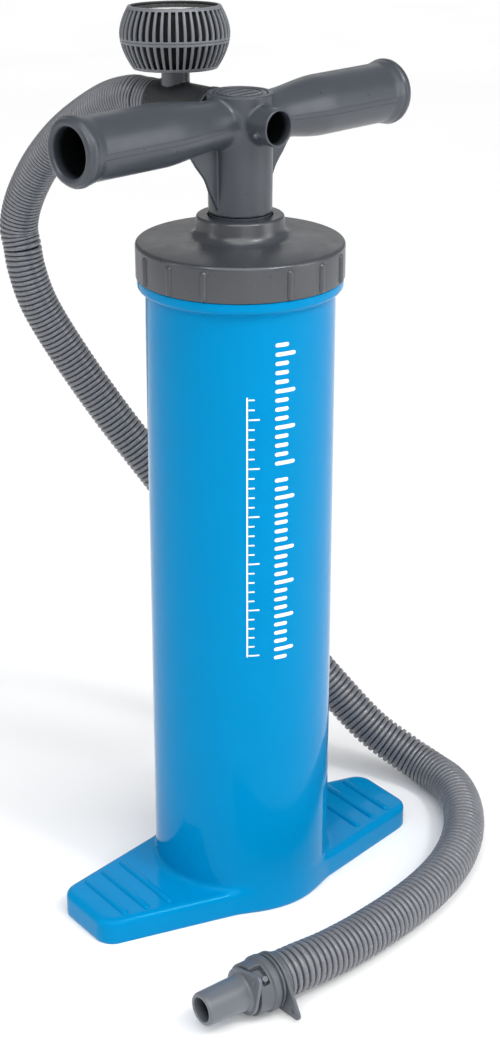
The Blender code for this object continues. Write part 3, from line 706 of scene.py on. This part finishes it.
def base_field(p):
    """The feet and the tube in one skin, with a fillet between them."""
    outline = np.empty(len(p))
    for part in np.array_split(np.arange(len(p)), max(1, len(p) // 20000)):
        outline[part] = np.max(p[part, :2] @ FOOT_WAYS.T - FOOT_REACH, axis=1)
    tube = reach_of(p) - BARREL_R
    crown = FOOT_FALL * np.maximum(tube, 0)
    foot = edged(outline, p[:, 2] - FOOT_HEIGHT + crown, FOOT_EDGE_R)
    return soft_union(foot, tube, BASE_FILLET)


def make_barrel():
    """A grid of columns round the axis: up the foot's side, over its top, up the tube, and down the bore."""
    columns = len(FOOT_WAYS)
    facing = FOOT_WAYS @ FOOT_WAYS.T
    edge = np.min(np.where(facing > 1e-3, FOOT_REACH / np.maximum(facing, 1e-3), np.inf), axis=1)
    edge = np.maximum(edge, BARREL_R + 0.2)
    room = np.minimum(FOOT_EDGE_R, edge - BARREL_R)
    rows = []
    for height in (0.9, 3.5, 7, 10, 12):
        rows.append((edge, np.full(columns, float(height))))
    for share in np.linspace(0.15, 1, 6):
        turn = share * math.pi / 2
        height = FOOT_HEIGHT - FOOT_EDGE_R * (1 - math.sin(turn))
        rows.append((edge - room * (1 - math.cos(turn)), np.full(columns, height)))
    inner = np.maximum(edge - FOOT_EDGE_R, BARREL_R)
    for share in (1 - np.linspace(0, 1, 26)[1:]) ** 1.6:
        rows.append((BARREL_R + (inner - BARREL_R) * share, np.full(columns, FOOT_HEIGHT)))
    for height in (16.6, 17.3, 18.2, 19.4, 21, 23, 26, 30):
        rows.append((np.full(columns, BARREL_R), np.full(columns, height)))
    grid = np.stack([np.column_stack([r[:, None] * FOOT_WAYS, z]) for r, z in rows])
    settled = settle(base_field, grid.reshape(-1, 3), 1.0, 8)
    settled[:, 2] = np.maximum(settled[:, 2], 0.8)
    grid = settled.reshape(grid.shape)
    skirt = grid[0].copy()
    skirt[:, :2] *= 1 - 0.8 / np.linalg.norm(skirt[:, :2], axis=1)[:, None]
    skirt[:, 2] = 0
    heights = [(BARREL_R, h) for h in (60, 140, 220, 300)] + rounded([
        (BARREL_R, 370, 0), (BARREL_R, 387.4, 0.8), (RIM_R, 389.2, 3.2), (RIM_R, RIM_Z, 0.5),
        (NECK_R, RIM_Z, 0.3), (NECK_R, BARREL_HIGH.z, 0.5), (BORE_R, BARREL_HIGH.z, 0.5),
        (BORE_R, FLOOR_TOP, 3), (40, FLOOR_TOP, 0),
    ])
    rings = [skirt, *grid]
    rings += [np.column_stack([r * FOOT_WAYS, np.full(columns, z)]) for r, z in heights]
    bm = bmesh.new()
    rings = [[bm.verts.new(point) for point in ring] for ring in rings]
    middle = bm.verts.new((0, 0, FLOOR_TOP))
    bridge(bm, rings)
    for near, far in zip(rings[-1], rings[-1][1:] + rings[-1][:1]):
        bm.faces.new((near, far, middle))
    bm.faces.new(rings[0][::-1])
    face_out(bm)
    for side, (x, half) in itertools.product((-1, 1), TREADS):
        join(bm, low_bar((side * x, -half + TREAD_R), (side * x, half - TREAD_R),
                         FOOT_HEIGHT - FOOT_FALL * (x - BARREL_R) - 0.4, TREAD_R, 0.85))
    shell = piece("barrel_shell", bm, blue_gloss, "barrel", ("pump_barrel",), sharp=50)
    cut_pockets(shell)


def cut_pockets(shell):
    """The four hollows under the feet."""
    tool_mesh = bmesh.new()
    for side, half in itertools.product((-1, 1), repeat=2):
        block = box_of((50, 20, 12))
        bmesh.ops.bevel(block, geom=block.edges[:], offset=2.4, segments=3, affect="EDGES")
        join(tool_mesh, block, Matrix.Translation((side * 88, half * 12, 5.0)))
    tool = placed("pockets", meshed("pockets", tool_mesh))
    step = shell.modifiers.new("pockets", "BOOLEAN")
    step.operation = "DIFFERENCE"
    step.solver = "FAST"
    step.object = tool
    bpy.context.view_layer.update()
    cut = shell.evaluated_get(bpy.context.evaluated_depsgraph_get())
    result = bpy.data.meshes.new_from_object(cut)
    shell.modifiers.remove(step)
    shell.data = result
    bpy.data.objects.remove(tool, do_unlink=True)


def film(angle, z, half_width, half_height, columns=10):
    """A thin patch with round ends, wrapped on the tube round a middle angle in degrees."""
    corner = min(half_width, half_height)
    turn = math.radians(angle)
    bm = bmesh.new()
    layers = []
    for r in (BARREL_R - 0.2, BARREL_R + PRINT_LIFT):
        layer = []
        for k in range(columns + 1):
            w = -half_width * math.cos(math.pi * k / columns)
            past = max(0.0, abs(w) - (half_width - corner))
            h = half_height - corner + math.sqrt(max(0.0, corner * corner - past * past)) + 0.01
            spot = (r * math.cos(turn + w / BARREL_R), r * math.sin(turn + w / BARREL_R))
            layer.append([bm.verts.new((*spot, z + side * h)) for side in (-1, 1)])
        layers.append(layer)
    inner, outer = layers
    for k in range(columns):
        bm.faces.new((outer[k][0], outer[k + 1][0], outer[k + 1][1], outer[k][1]))
        bm.faces.new((inner[k][1], inner[k + 1][1], inner[k + 1][0], inner[k][0]))
        for side in (0, 1):
            bm.faces.new((inner[k][side], inner[k + 1][side], outer[k + 1][side], outer[k][side]))
    for k in (0, columns):
        bm.faces.new((inner[k][0], inner[k][1], outer[k][1], outer[k][0]))
    face_out(bm)
    return bm


MARK_ANGLE, MARK_PITCH = -98.8, 5.4
MARK_RUNS = ((299, 367), (267, 289), (176, 261))
SCALE_ANGLE, SCALE_PITCH = -122.4, 5.9


def shifted(angle, way):
    """An angle in degrees, moved round the tube by a length in millimetres."""
    return angle + math.degrees(way / BARREL_R)


def make_print():
    """Plain white marks in place of the printing: a column of bars, and a fine line with ticks."""
    bm = bmesh.new()
    broad = 0
    for low, high in MARK_RUNS:
        for n in range(round((high - low) / MARK_PITCH) + 1):
            half = 6.4 if broad % 4 == 0 else 4.2
            join(bm, film(shifted(MARK_ANGLE, half - 6.4), low + n * MARK_PITCH, half, 1.15))
            broad += 1
    join(bm, film(SCALE_ANGLE, 259, 0.45, 81, 6))
    for n in range(28):
        half = 3.4 if n % 5 == 0 else 1.9
        join(bm, film(shifted(SCALE_ANGLE + 0.6, half), 179 + n * SCALE_PITCH, half, 0.42, 6))
    piece("barrel_print", bm, print_white, "barrel")


# ---- cap

RIB_R = 2.15
RIB_SINK = 0.8


def make_cap():
    profile = rounded([
        (CAP_INNER_R, CAP_LOW.z, 0.3), (CAP_R, CAP_LOW.z, 0.8), (CAP_R, CAP_RIM_Z, 2.2), (36, 418.3, 14),
        (COLLAR_R + 0.9, 419.6, 6.5), (COLLAR_R, CAP_HIGH.z, 1.8), (LIP_R, CAP_HIGH.z, 0.5),
        (LIP_R, CAP_HIGH.z - 0.9, 0), (COLLAR_BORE_R, CAP_HIGH.z - 0.9, 0),
        (COLLAR_BORE_R, CAP_CEILING, 0), (CAP_INNER_R, CAP_CEILING, 0),
    ], 7)
    bm = turned(profile, 256)
    for group, place in itertools.product(range(4), (-1, 0, 1)):
        angle = math.radians(12.5 + 90 * group + 21.5 * place)
        foot, top = (CAP_R - RIB_SINK, 0, CAP_LOW.z + 2.2), (CAP_R - RIB_SINK, 0, CAP_RIM_Z - 4.8)
        join(bm, capsule(foot, top, RIB_R, rings=6, steps=28), Matrix.Rotation(angle, 4, "Z"))
    piece("cap_shell", bm, cap_grey, "barrel", ("screw_cap",), sharp=35)


# ---- handle

# (how far along the arm, the radius there), and for the web (height, how far it reaches to either side)
GRIP_STATIONS = ((0, 13.2), (22, 13.5), (62, 17.4), (110.0, 17.4), (116.2, 18.5), (118.4, 19.2),
                 (119.8, 19.1), (122.1, 17.8), (HANDLE_HALF, 16.6))
GRIP_BORE = ((0, 8.0), (34, 9.0), (62, 13.0), (113, 13.2), (121.0, 13.4), (HANDLE_HALF + 1, 14.2))
WEB_EDGE = ((431.5, 16.2), (437.4, 18.9), (446.7, 23.9), (454.6, 27.6), (462, 33.5), (469, 38.6), (480, 48))


def eased(value, stations):
    """A smooth curve through (place, value) stations."""
    places, values = (np.array(column, float) for column in zip(*stations))
    step = np.clip(np.searchsorted(places, value) - 1, 0, len(places) - 2)
    share = np.clip((value - places[step]) / (places[step + 1] - places[step]), 0, 1)
    ease = share * share * (3 - 2 * share)
    return values[step] + (values[step + 1] - values[step]) * ease


WEB_CURVE = smooth_path([(height, half, 0) for height, half in WEB_EDGE])[:, :2].T


def grip_field(p):
    radius = eased(np.abs(p[:, 0]), GRIP_STATIONS)
    return bar(p, (0, 0, HANDLE_Z), 0, radius, -HANDLE_HALF, HANDLE_HALF, 0.7)


PORT_AXIS, TEE_AXIS, SHAFT_AXIS = (0, 0, PORT_Z), (0, 0, TEE_Z), (0, 0, 0)
PORT_R, PORT_END, PORT_BORE_R = 10.6, -31, 9.1
SPIGOT_R, SPIGOT_END, SPIGOT_BORE_R = 11.3, 40, 9.0
LUG_PLACE, LUG_R = (-11.2, -24.0, PORT_Z - 3.6), 1.7
SEAT_R, SEAT_DEPTH = 15.6, 2.4
SHAFT_SOCKET_R = 15.7
WEB_TOP = 480
BORE_START = 36


def handle_field(p):
    """The arms, hub, web, front port with its lug, and rear spigot, less the seat, bores and socket."""
    hub_radius = np.interp(p[:, 2], (SLEEVE_BOTTOM, HUB_TOP), (HUB_R, HUB_R + 0.5))
    hub = edged(reach_of(p) - hub_radius, between(p, SLEEVE_BOTTOM, HUB_TOP), 0.8)
    field = soft_union(grip_field(p), hub, 2.6)
    far = np.abs(p[:, 0])
    web_side = (far - np.interp(p[:, 2], *WEB_CURVE)) * 0.8
    web_ends = np.maximum(web_side, between(p, SLEEVE_BOTTOM + 0.6, WEB_TOP))
    field = soft_union(field, edged(np.abs(p[:, 1]) - WEB_HALF, web_ends, 0.6), 0.6)
    port_radius = PORT_R + 0.03 * np.maximum(25 + p[:, 1], 0)
    field = soft_union(field, bar(p, PORT_AXIS, 1, port_radius, PORT_END, 0, 0.8), 1.6)
    field = soft_union(field, bar(p, TEE_AXIS, 1, SPIGOT_R, 0, SPIGOT_END, 0.5), 1.5)
    lug = np.linalg.norm((p - LUG_PLACE) * (0.8, 1, 1), axis=1) - LUG_R
    field = soft_union(field, lug, 1.0)
    field = soft_cut(field, bar(p, SHAFT_AXIS, 2, SEAT_R, HUB_TOP - SEAT_DEPTH, HUB_TOP + 9, 0.3), 0.7)
    bore = np.maximum(np.hypot(p[:, 1], p[:, 2] - HANDLE_Z) - eased(far, GRIP_BORE), BORE_START - far)
    field = soft_cut(field, bore, 1.6)
    field = soft_cut(field, bar(p, PORT_AXIS, 1, PORT_BORE_R, -60, -11, 0.5), 0.9)
    field = soft_cut(field, bar(p, TEE_AXIS, 1, SPIGOT_BORE_R, -6, 60, 0.5), 0.6)
    socket = bar(p, SHAFT_AXIS, 2, SHAFT_SOCKET_R, SLEEVE_BOTTOM - 9, SHAFT_HIGH.z + 1, 0.3)
    return soft_cut(field, socket, 0.5)


def bore_shade(p):
    """Painted shade on the handle: how dark each point is painted, 1 down the bores of its grips and of its
    front port.
    """
    far = np.abs(p[:, 0])
    in_grip = np.hypot(p[:, 1], p[:, 2] - HANDLE_Z) < eased(far, GRIP_BORE) + 0.4
    grip = in_grip * np.clip((HANDLE_HALF - 1.6 - far) / 5, 0, 1) * (far > 34)
    in_port = np.hypot(p[:, 0], p[:, 2] - PORT_Z) < 9.4
    return np.maximum(grip, in_port * np.clip((p[:, 1] + 29.4) / 4, 0, 1) * (p[:, 1] < -10))


SEAM_TURNS = (math.pi, math.pi + 0.17, 0)


def make_seams():
    """The fine parting lines along each arm, two in front and one behind."""
    bm = bmesh.new()
    half_turn, proud, sunk = 0.013, 0.2, 0.3
    for side, middle in itertools.product((-1, 1), SEAM_TURNS):
        rings = []
        for far in np.linspace(24, 112, 60):
            radius = float(eased(np.array([far]), GRIP_STATIONS)[0])
            ring = []
            for across, out in ((-1, -sunk), (-0.5, proud), (0.5, proud), (1, -sunk)):
                angle = middle + across * half_turn
                y, z = (radius + out) * math.cos(angle), HANDLE_Z + (radius + out) * math.sin(angle)
                ring.append(bm.verts.new((side * far, y, z)))
            rings.append(ring)
        bridge(bm, rings)
        bm.faces.new(rings[0])
        bm.faces.new(rings[-1])
    face_out(bm)
    piece("handle_seams", bm, handle_grey, "handle", (), HANDLE_FRAME)


def make_handle():
    skinned("handle_body", handle_field, (-HANDLE_HALF, -31.5, SLEEVE_BOTTOM), (HANDLE_HALF, 41, 504), 0.9,
            bored_grey, "handle", ("pump_handle",), HANDLE_FRAME, bore_shade)
    make_seams()


def make_hub_disc():
    """The disc in the hub's top, with a raised ring and three raised bars inside it."""
    low, top, proud = HUB_TOP - 2.1, HUB_TOP - 0.2, HUB_TOP + 0.25
    bm = turned(rounded([(0, low, 0), (15.3, low, 0.2), (15.3, top, 0.6), (0, top, 0)]), 96, False)
    join(bm, turned(rounded([(12.2, low, 0), (13.2, low, 0), (13.2, proud, 0.3), (12.2, proud, 0.3)]), 96))
    for y in (-6.0, 0.0, 6.0):
        half = math.sqrt(9.6 ** 2 - y * y)
        join(bm, low_bar((-half, y), (half, y), HUB_TOP - 0.35, 1.0, 0.7, rings=4, steps=12))
    piece("hub_disc", bm, handle_grey, "handle", ("hub_cap",), HANDLE_FRAME)


# ---- tee, cuff and gauge

TEE_R, TEE_START, TEE_END = 14.0, 19, 66
STEM_AXIS, STEM_R, STEM_TOP = (0, STEM_Y, 0), 8.1, 504.2


def tee_field(p):
    sleeve = bar(p, TEE_AXIS, 1, TEE_R, TEE_START, TEE_END, 0.8)
    rim = bar(p, TEE_AXIS, 1, TEE_R + 0.7, TEE_START, TEE_START + 4.5, 0.6)
    nipple = bar(p, TEE_AXIS, 1, 10.5, 60, 79, 0.5)
    stem = bar(p, STEM_AXIS, 2, STEM_R, TEE_Z, STEM_TOP, 0.5)
    field = soft_union(soft_union(sleeve, rim, 0.8), nipple, 0.8)
    field = soft_union(field, stem, 0.5)
    field = soft_cut(field, bar(p, TEE_AXIS, 1, 11.7, 0, 60, 0.5), 0.5)
    field = soft_cut(field, bar(p, TEE_AXIS, 1, 8.4, 50, 90, 0.3), 0.4)
    return soft_cut(field, bar(p, STEM_AXIS, 2, 6.2, TEE_Z + 8, 520, 0.3), 0.5)


def sleeve_shade(p):
    """Painted shade on the tee: 1 on the sleeve, and 0 on the stem that stands on it."""
    stem = np.hypot(p[:, 0], p[:, 1] - STEM_Y) < STEM_R + 0.15
    return np.where(stem & (np.hypot(p[:, 0], p[:, 2] - TEE_Z) > TEE_R + 0.25), 0.0, 1.0)


def make_tee():
    skinned("gauge_tee_shell", tee_field, (-14.8, 18, TEE_Z - 14.8), (14.8, 79.5, 505), 0.7,
            tee_grey, "handle", ("gauge_tee",), HANDLE_FRAME, sleeve_shade)
    lay = HANDLE_FRAME @ Matrix.Translation((0, 0, TEE_Z)) @ Matrix.Rotation(-math.pi / 2, 4, "X")
    ribs = [(10.8, 68.6, 0), (11.8, 68.6, 0)]
    for start in np.arange(68.7, 78.0, 2.6):
        ribs += [(11.6, start, 0), (12.9, start + 0.5, 0.5), (12.9, start + 1.8, 0.5), (11.6, start + 2.3, 0)]
    cuff = rounded([*ribs, (10.8, 78.9, 0)], 3)
    piece("hose_cuff", turned(cuff, 96), hose_grey, "handle", ("hose_cuff_upper",), lay)


CAGE_WIDEST = (31.5, 22.0)
CAGE_BOTTOM = (24.1, 2.6)
CAGE_TOP = (26.3, 37.6)
CAGE_WALL = 1.6


def cage_radius(height):
    """The globe's outer radius at a height: its widest circle, drawn in towards either end."""
    widest, middle = CAGE_WIDEST
    radius, end = CAGE_BOTTOM if height < middle else CAGE_TOP
    share = abs(height - middle) / abs(end - middle)
    return widest - (widest - radius) * share ** 1.8


def cage(levels, open_rows):
    """A slotted shell. The rows named open are only ribs between their slots."""
    bm = bmesh.new()
    pitch = math.tau / CAGE_SLOTS
    angles = [pitch * (i // 2) + (0.38 * pitch if i % 2 else 0) for i in range(2 * CAGE_SLOTS)]
    count = len(angles)
    skins = []
    for offset in (0, CAGE_WALL):
        layer = []
        for z in levels:
            radius = cage_radius(z) - offset
            layer.append([bm.verts.new((radius * math.cos(a), radius * math.sin(a), z)) for a in angles])
        skins.append(layer)
    outer, inner = skins
    rows = len(levels) - 1

    def filled(row, column):
        return 0 <= row < rows and (row not in open_rows or column % 2 == 0)

    for row, i in itertools.product(range(rows), range(count)):
        j = (i + 1) % count
        if not filled(row, i):
            continue
        for layer in skins:
            bm.faces.new((layer[row][i], layer[row][j], layer[row + 1][j], layer[row + 1][i]))
        for near, level in ((row - 1, row), (row + 1, row + 1)):
            if not filled(near, i):
                bm.faces.new((outer[level][i], outer[level][j], inner[level][j], inner[level][i]))
        for near, side in (((i - 1) % count, i), (j, j)):
            if not filled(row, near):
                wall = (outer[row][side], outer[row + 1][side], inner[row + 1][side], inner[row][side])
                bm.faces.new(wall)
    face_out(bm)
    sharp = [e for e in bm.edges if len(e.link_faces) == 2 and e.calc_face_angle(0) > math.radians(50)]
    bmesh.ops.bevel(bm, geom=sharp, offset=0.28, segments=2, affect="EDGES", profile=0.5)
    return bm


SPLIT_LOW, SPLIT_HIGH = 18.7, 18.8
CAN_TOP, CAN_INNER_R = 37.0, 23.9
DIAL_LOW, DIAL_TOP, DIAL_R = 33.1, 34.1, 23.2
LENS_LOW, LENS_TOP, LENS_R = 35.5, 36.2, 23.8
NEEDLE_Z, NEEDLE_THICKNESS = 34.5, 0.4
NEEDLE = ((-5, -1.3), (-5.6, 0), (-5, 1.3), (0, 1.1), (15.6, 0.32), (16, 0), (15.6, -0.32), (0, -1.1))


def make_gauge():
    (floor_r, low), high = CAGE_BOTTOM, CAGE_TOP[1]
    lower = cage([low, low + 1.8, *np.linspace(low + 1.8, 17.2, 6)[1:], SPLIT_LOW], range(1, 6))
    floor = rounded([(0, low, 0), (floor_r - 0.4, low, 1.0), (floor_r - 0.9, low + 1.2, 0),
                     (0, low + 1.2, 0)])
    join(lower, turned(floor, 88, False))
    neck = rounded([(0, -4, 0), (5.3, -4, 0.4), (5.3, low + 0.6, 0), (0, low + 0.6, 0)])
    join(lower, turned(neck, 48, False))
    gauge_piece("cage_lower", lower, cage_grey, "gauge_cage_lower", sharp=50)
    upper = cage([SPLIT_HIGH, 20.1, *np.linspace(20.1, high - 1.7, 7)[1:], high], range(1, 7))
    gauge_piece("cage_upper", upper, cage_grey, "gauge_cage_upper", sharp=50)

    can = rounded([(0, low + 1.5, 0), (20.6, low + 1.5, 1), (24.6, 9, 3), (27.3, 18, 4), (25.9, 31, 1.5),
                   (24.6, CAN_TOP, 0.2), (CAN_INNER_R, CAN_TOP, 0.2), (CAN_INNER_R, 32.7, 0), (0, 32.7, 0)])
    gauge_piece("gauge_can_shell", turned(can, 96, False), dull_black, "gauge_can")
    dial = rounded([(2.6, DIAL_LOW, 0), (DIAL_R, DIAL_LOW, 0.2), (DIAL_R, DIAL_TOP, 0.3),
                    (2.6, DIAL_TOP, 0.1)])
    gauge_piece("gauge_dial_plate", turned(dial, 128), dial_white, "gauge_dial")
    make_dial_marks()
    lens = rounded([(0, LENS_LOW, 0), (LENS_R, LENS_LOW, 0.1), (LENS_R, LENS_TOP - 0.2, 0.1),
                    (0, LENS_TOP, 0)])
    gauge_piece("gauge_lens_disc", turned(lens, 128, False), clear_lens, "gauge_lens")

    hub = rounded([(0, 33.3, 0), (2.0, 33.3, 0), (2.0, 34.4, 0), (2.8, 34.4, 0.2), (2.8, 35.2, 0.25),
                   (0, 35.2, 0)])
    pointer = turned(hub, 48, False)
    leaf = bmesh.new()
    face = leaf.faces.new([leaf.verts.new((x, y, NEEDLE_Z)) for x, y in NEEDLE])
    grown = bmesh.ops.extrude_face_region(leaf, geom=[face])["geom"]
    raised = [part for part in grown if isinstance(part, bmesh.types.BMVert)]
    bmesh.ops.translate(leaf, vec=(0, 0, NEEDLE_THICKNESS), verts=raised)
    face_out(leaf)
    join(pointer, leaf)
    gauge_piece("gauge_needle_blade", pointer, print_black, "gauge_pointer", "pointer")


def gauge_piece(name, bm, paint, node, body="handle", sharp=40):
    piece(name, bm, paint, body, (node,), GAUGE_FRAME, sharp)


DIAL_SWEEP = 250
DIAL_TICKS = 25
DIAL_NUMBERS = 5
TICK_END_R = 21.4
NUMBER_R = 14.2
NUMBER_TURN = math.radians(-125 - 90)


def make_dial_marks():
    """Ticks round the dial, longer at each fifth, and plain numbers inside them."""
    bm = bmesh.new()
    for n in range(DIAL_TICKS + 1):
        inner, width = (18.4, 0.40) if n % 5 == 0 else (19.8, 0.18)
        block = box_of((TICK_END_R - inner, width, 0.08))
        bmesh.ops.translate(block, vec=((TICK_END_R + inner) / 2, 0, DIAL_TOP + 0.02), verts=block.verts)
        join(bm, block, Matrix.Rotation(math.radians(-DIAL_SWEEP * n / DIAL_TICKS), 4, "Z"))
    piece("dial_ticks", bm, print_black, "handle", (), GAUGE_FRAME)
    for n in range(DIAL_NUMBERS + 1):
        words = bpy.data.curves.new(f"dial_number_{n}", "FONT")
        words.body = str(n * 2)
        words.size = 3.0 * MM
        words.align_x = "CENTER"
        words.align_y = "CENTER"
        words.extrude = 0.03 * MM
        maker = placed(words.name, words)
        bpy.context.view_layer.update()
        mesh = bpy.data.meshes.new_from_object(maker)
        mesh.name = words.name
        bpy.data.objects.remove(maker, do_unlink=True)
        angle = math.radians(-DIAL_SWEEP * n / DIAL_NUMBERS)
        spot = Matrix.Translation((NUMBER_R * math.cos(angle), NUMBER_R * math.sin(angle), DIAL_TOP + 0.04))
        place = GAUGE_FRAME @ spot @ Matrix.Rotation(NUMBER_TURN, 4, "Z")
        mesh.transform(Matrix.Scale(MM, 4) @ place @ Matrix.Scale(1 / MM, 4))
        shown(words.name, mesh, print_black, "handle")


# ---- collar and nozzle

SOCKET_LENGTH = 23.1
EAR_TIP_R = 3.2


def ear_field(p, start, thickness, ring_r, reach, hole, turn):
    """A plate round the collar's axis, drawn out to one long ear with a hole in it."""
    tip = np.array((math.cos(turn), math.sin(turn)))
    flat = p[:, :2]
    along = flat @ tip
    across = np.abs(flat @ np.array((-tip[1], tip[0])))
    lean = (ring_r - EAR_TIP_R) / reach
    level = math.sqrt(1 - lean * lean)
    side = along * lean + across * level - ring_r
    ring = np.hypot(along, across) - ring_r
    end = np.hypot(along - reach, across) - EAR_TIP_R
    foot = along * level - across * lean
    outline = np.where(foot < 0, ring, np.where(foot > reach * level, end, side))
    plate = edged(outline, between(p, start, start + thickness), 0.6)
    drill = np.hypot(along - hole, across) - 1.3
    return soft_cut(plate, drill, 0.5)


def turned_field(p, stations, low, high, edge=0.5):
    return edged(reach_of(p) - np.interp(p[:, 2], *zip(*stations)), between(p, low, high), edge)


COLLAR_STATIONS = ((0, 15.0), (3.2, 15.0), (3.6, 14.4), (6.0, 14.4), (6.3, 16.3), (7.4, 16.3), (7.7, 14.4),
                   (9.5, 14.4), (9.9, 16.9), (13.4, 16.9), (14.2, 15.7), (24, 15.7))
COLLAR_R_AT_SLOT = 15.7
FLANGE_Z = 24.1
SPOUT_STATIONS = ((FLANGE_Z, 11.6), (FLANGE_Z + 2.6, 11.4), (FLANGE_Z + 3.6, 10.8), (53.0, 10.0), (54.0, 9.6),
                  (56, 9.2))
PEG_TURN = math.radians(47)
PEG_Z = 17.7


def ring_sector(p, first, last, low, high, edge=0.8):
    """A slice of space between two angles in degrees and two heights."""
    middle, half = math.radians((first + last) / 2), math.radians((last - first) / 2)
    turn = np.arctan2(p[:, 1], p[:, 0]) - middle
    turn = np.abs((turn + math.pi) % math.tau - math.pi)
    return edged((turn - half) * COLLAR_R_AT_SLOT, between(p, low, high), edge)


def collar_field(p):
    field = turned_field(p, COLLAR_STATIONS, 0, SOCKET_LENGTH, 0.6)
    plate = ear_field(p, 3.1, 2.2, 16.4, 25.8, 23.0, math.radians(-27))
    field = soft_union(field, plate, 0.8)
    field = soft_cut(field, reach_of(p) - 12.2, 0.7)
    wall = 11 - reach_of(p)
    slot = np.maximum(ring_sector(p, 34, 82, PEG_Z - 2.4, PEG_Z + 2.4), wall)
    mouth = np.maximum(ring_sector(p, 62, 82, PEG_Z - 1, SOCKET_LENGTH + 3), wall)
    return soft_cut(field, soft_union(slot, mouth, 1.0), 0.7)


def nozzle_field(p):
    plug = edged(reach_of(p) - 11.9, between(p, SOCKET_LENGTH - 9.5, FLANGE_Z + 0.6), 0.4)
    spout = turned_field(p, SPOUT_STATIONS, FLANGE_Z, 54.7, 0.8)
    field = soft_union(plug, spout, 0.6)
    field = soft_union(field, ear_field(p, FLANGE_Z, 2.2, 14.2, 20.6, 17.2, PEG_TURN), 0.8)
    across = np.hypot(p[:, 0] * math.sin(PEG_TURN) - p[:, 1] * math.cos(PEG_TURN), p[:, 2] - PEG_Z)
    out = p[:, 0] * math.cos(PEG_TURN) + p[:, 1] * math.sin(PEG_TURN)
    field = soft_union(field, edged(across - 1.9, np.maximum(10 - out, out - 16.3), 0.5), 0.5)
    return soft_cut(field, reach_of(p) - 7.2, 0.8)


def nozzle_shade(p):
    """Painted shade on the nozzle: how dark each point is painted, 1 down its bore."""
    return (reach_of(p) < 7.5) * np.clip((53.6 - p[:, 2]) / 6, 0, 1)


def make_collar_and_nozzle():
    skinned("hose_collar", collar_field, (-17.5, -20, 0), (29, 17.5, SOCKET_LENGTH), 0.45,
            collar_grey, "barrel", ("hose_socket_lower",), COLLAR_FRAME)
    skinned("hose_nozzle", nozzle_field, (-14.6, -14.6, 13.4), (19, 20, 54.9), 0.45,
            nozzle_grey, "nozzle", ("nozzle",), COLLAR_FRAME, nozzle_shade)


# ---- the parts inside

INNER_FINISH = {
    "cap_gasket": dull_black, "shaft_bush": handle_grey, "shaft_wiper": dull_black, "shaft_tube": handle_grey,
    "shaft_inner_tube": handle_grey, "piston_lower_plate": handle_grey, "piston_upper_plate": handle_grey,
    "piston_seal": dull_black, "piston_screw": brushed_zinc, "valve_flap_lower": dull_black,
    "valve_flap_upper": dull_black,
}


def finish_inner_parts():
    for name, paint in INNER_FINISH.items():
        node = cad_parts[name]
        made = paint(f"{name}_finish")
        if not node.material_slots:
            node.data.materials.append(made)
        for slot in node.material_slots:
            slot.material = made


make_camera()
make_studio()
make_collar_and_nozzle()
make_hoses()
make_barrel()
make_print()
make_cap()
make_handle()
make_hub_disc()
make_tee()
make_gauge()
finish_inner_parts()
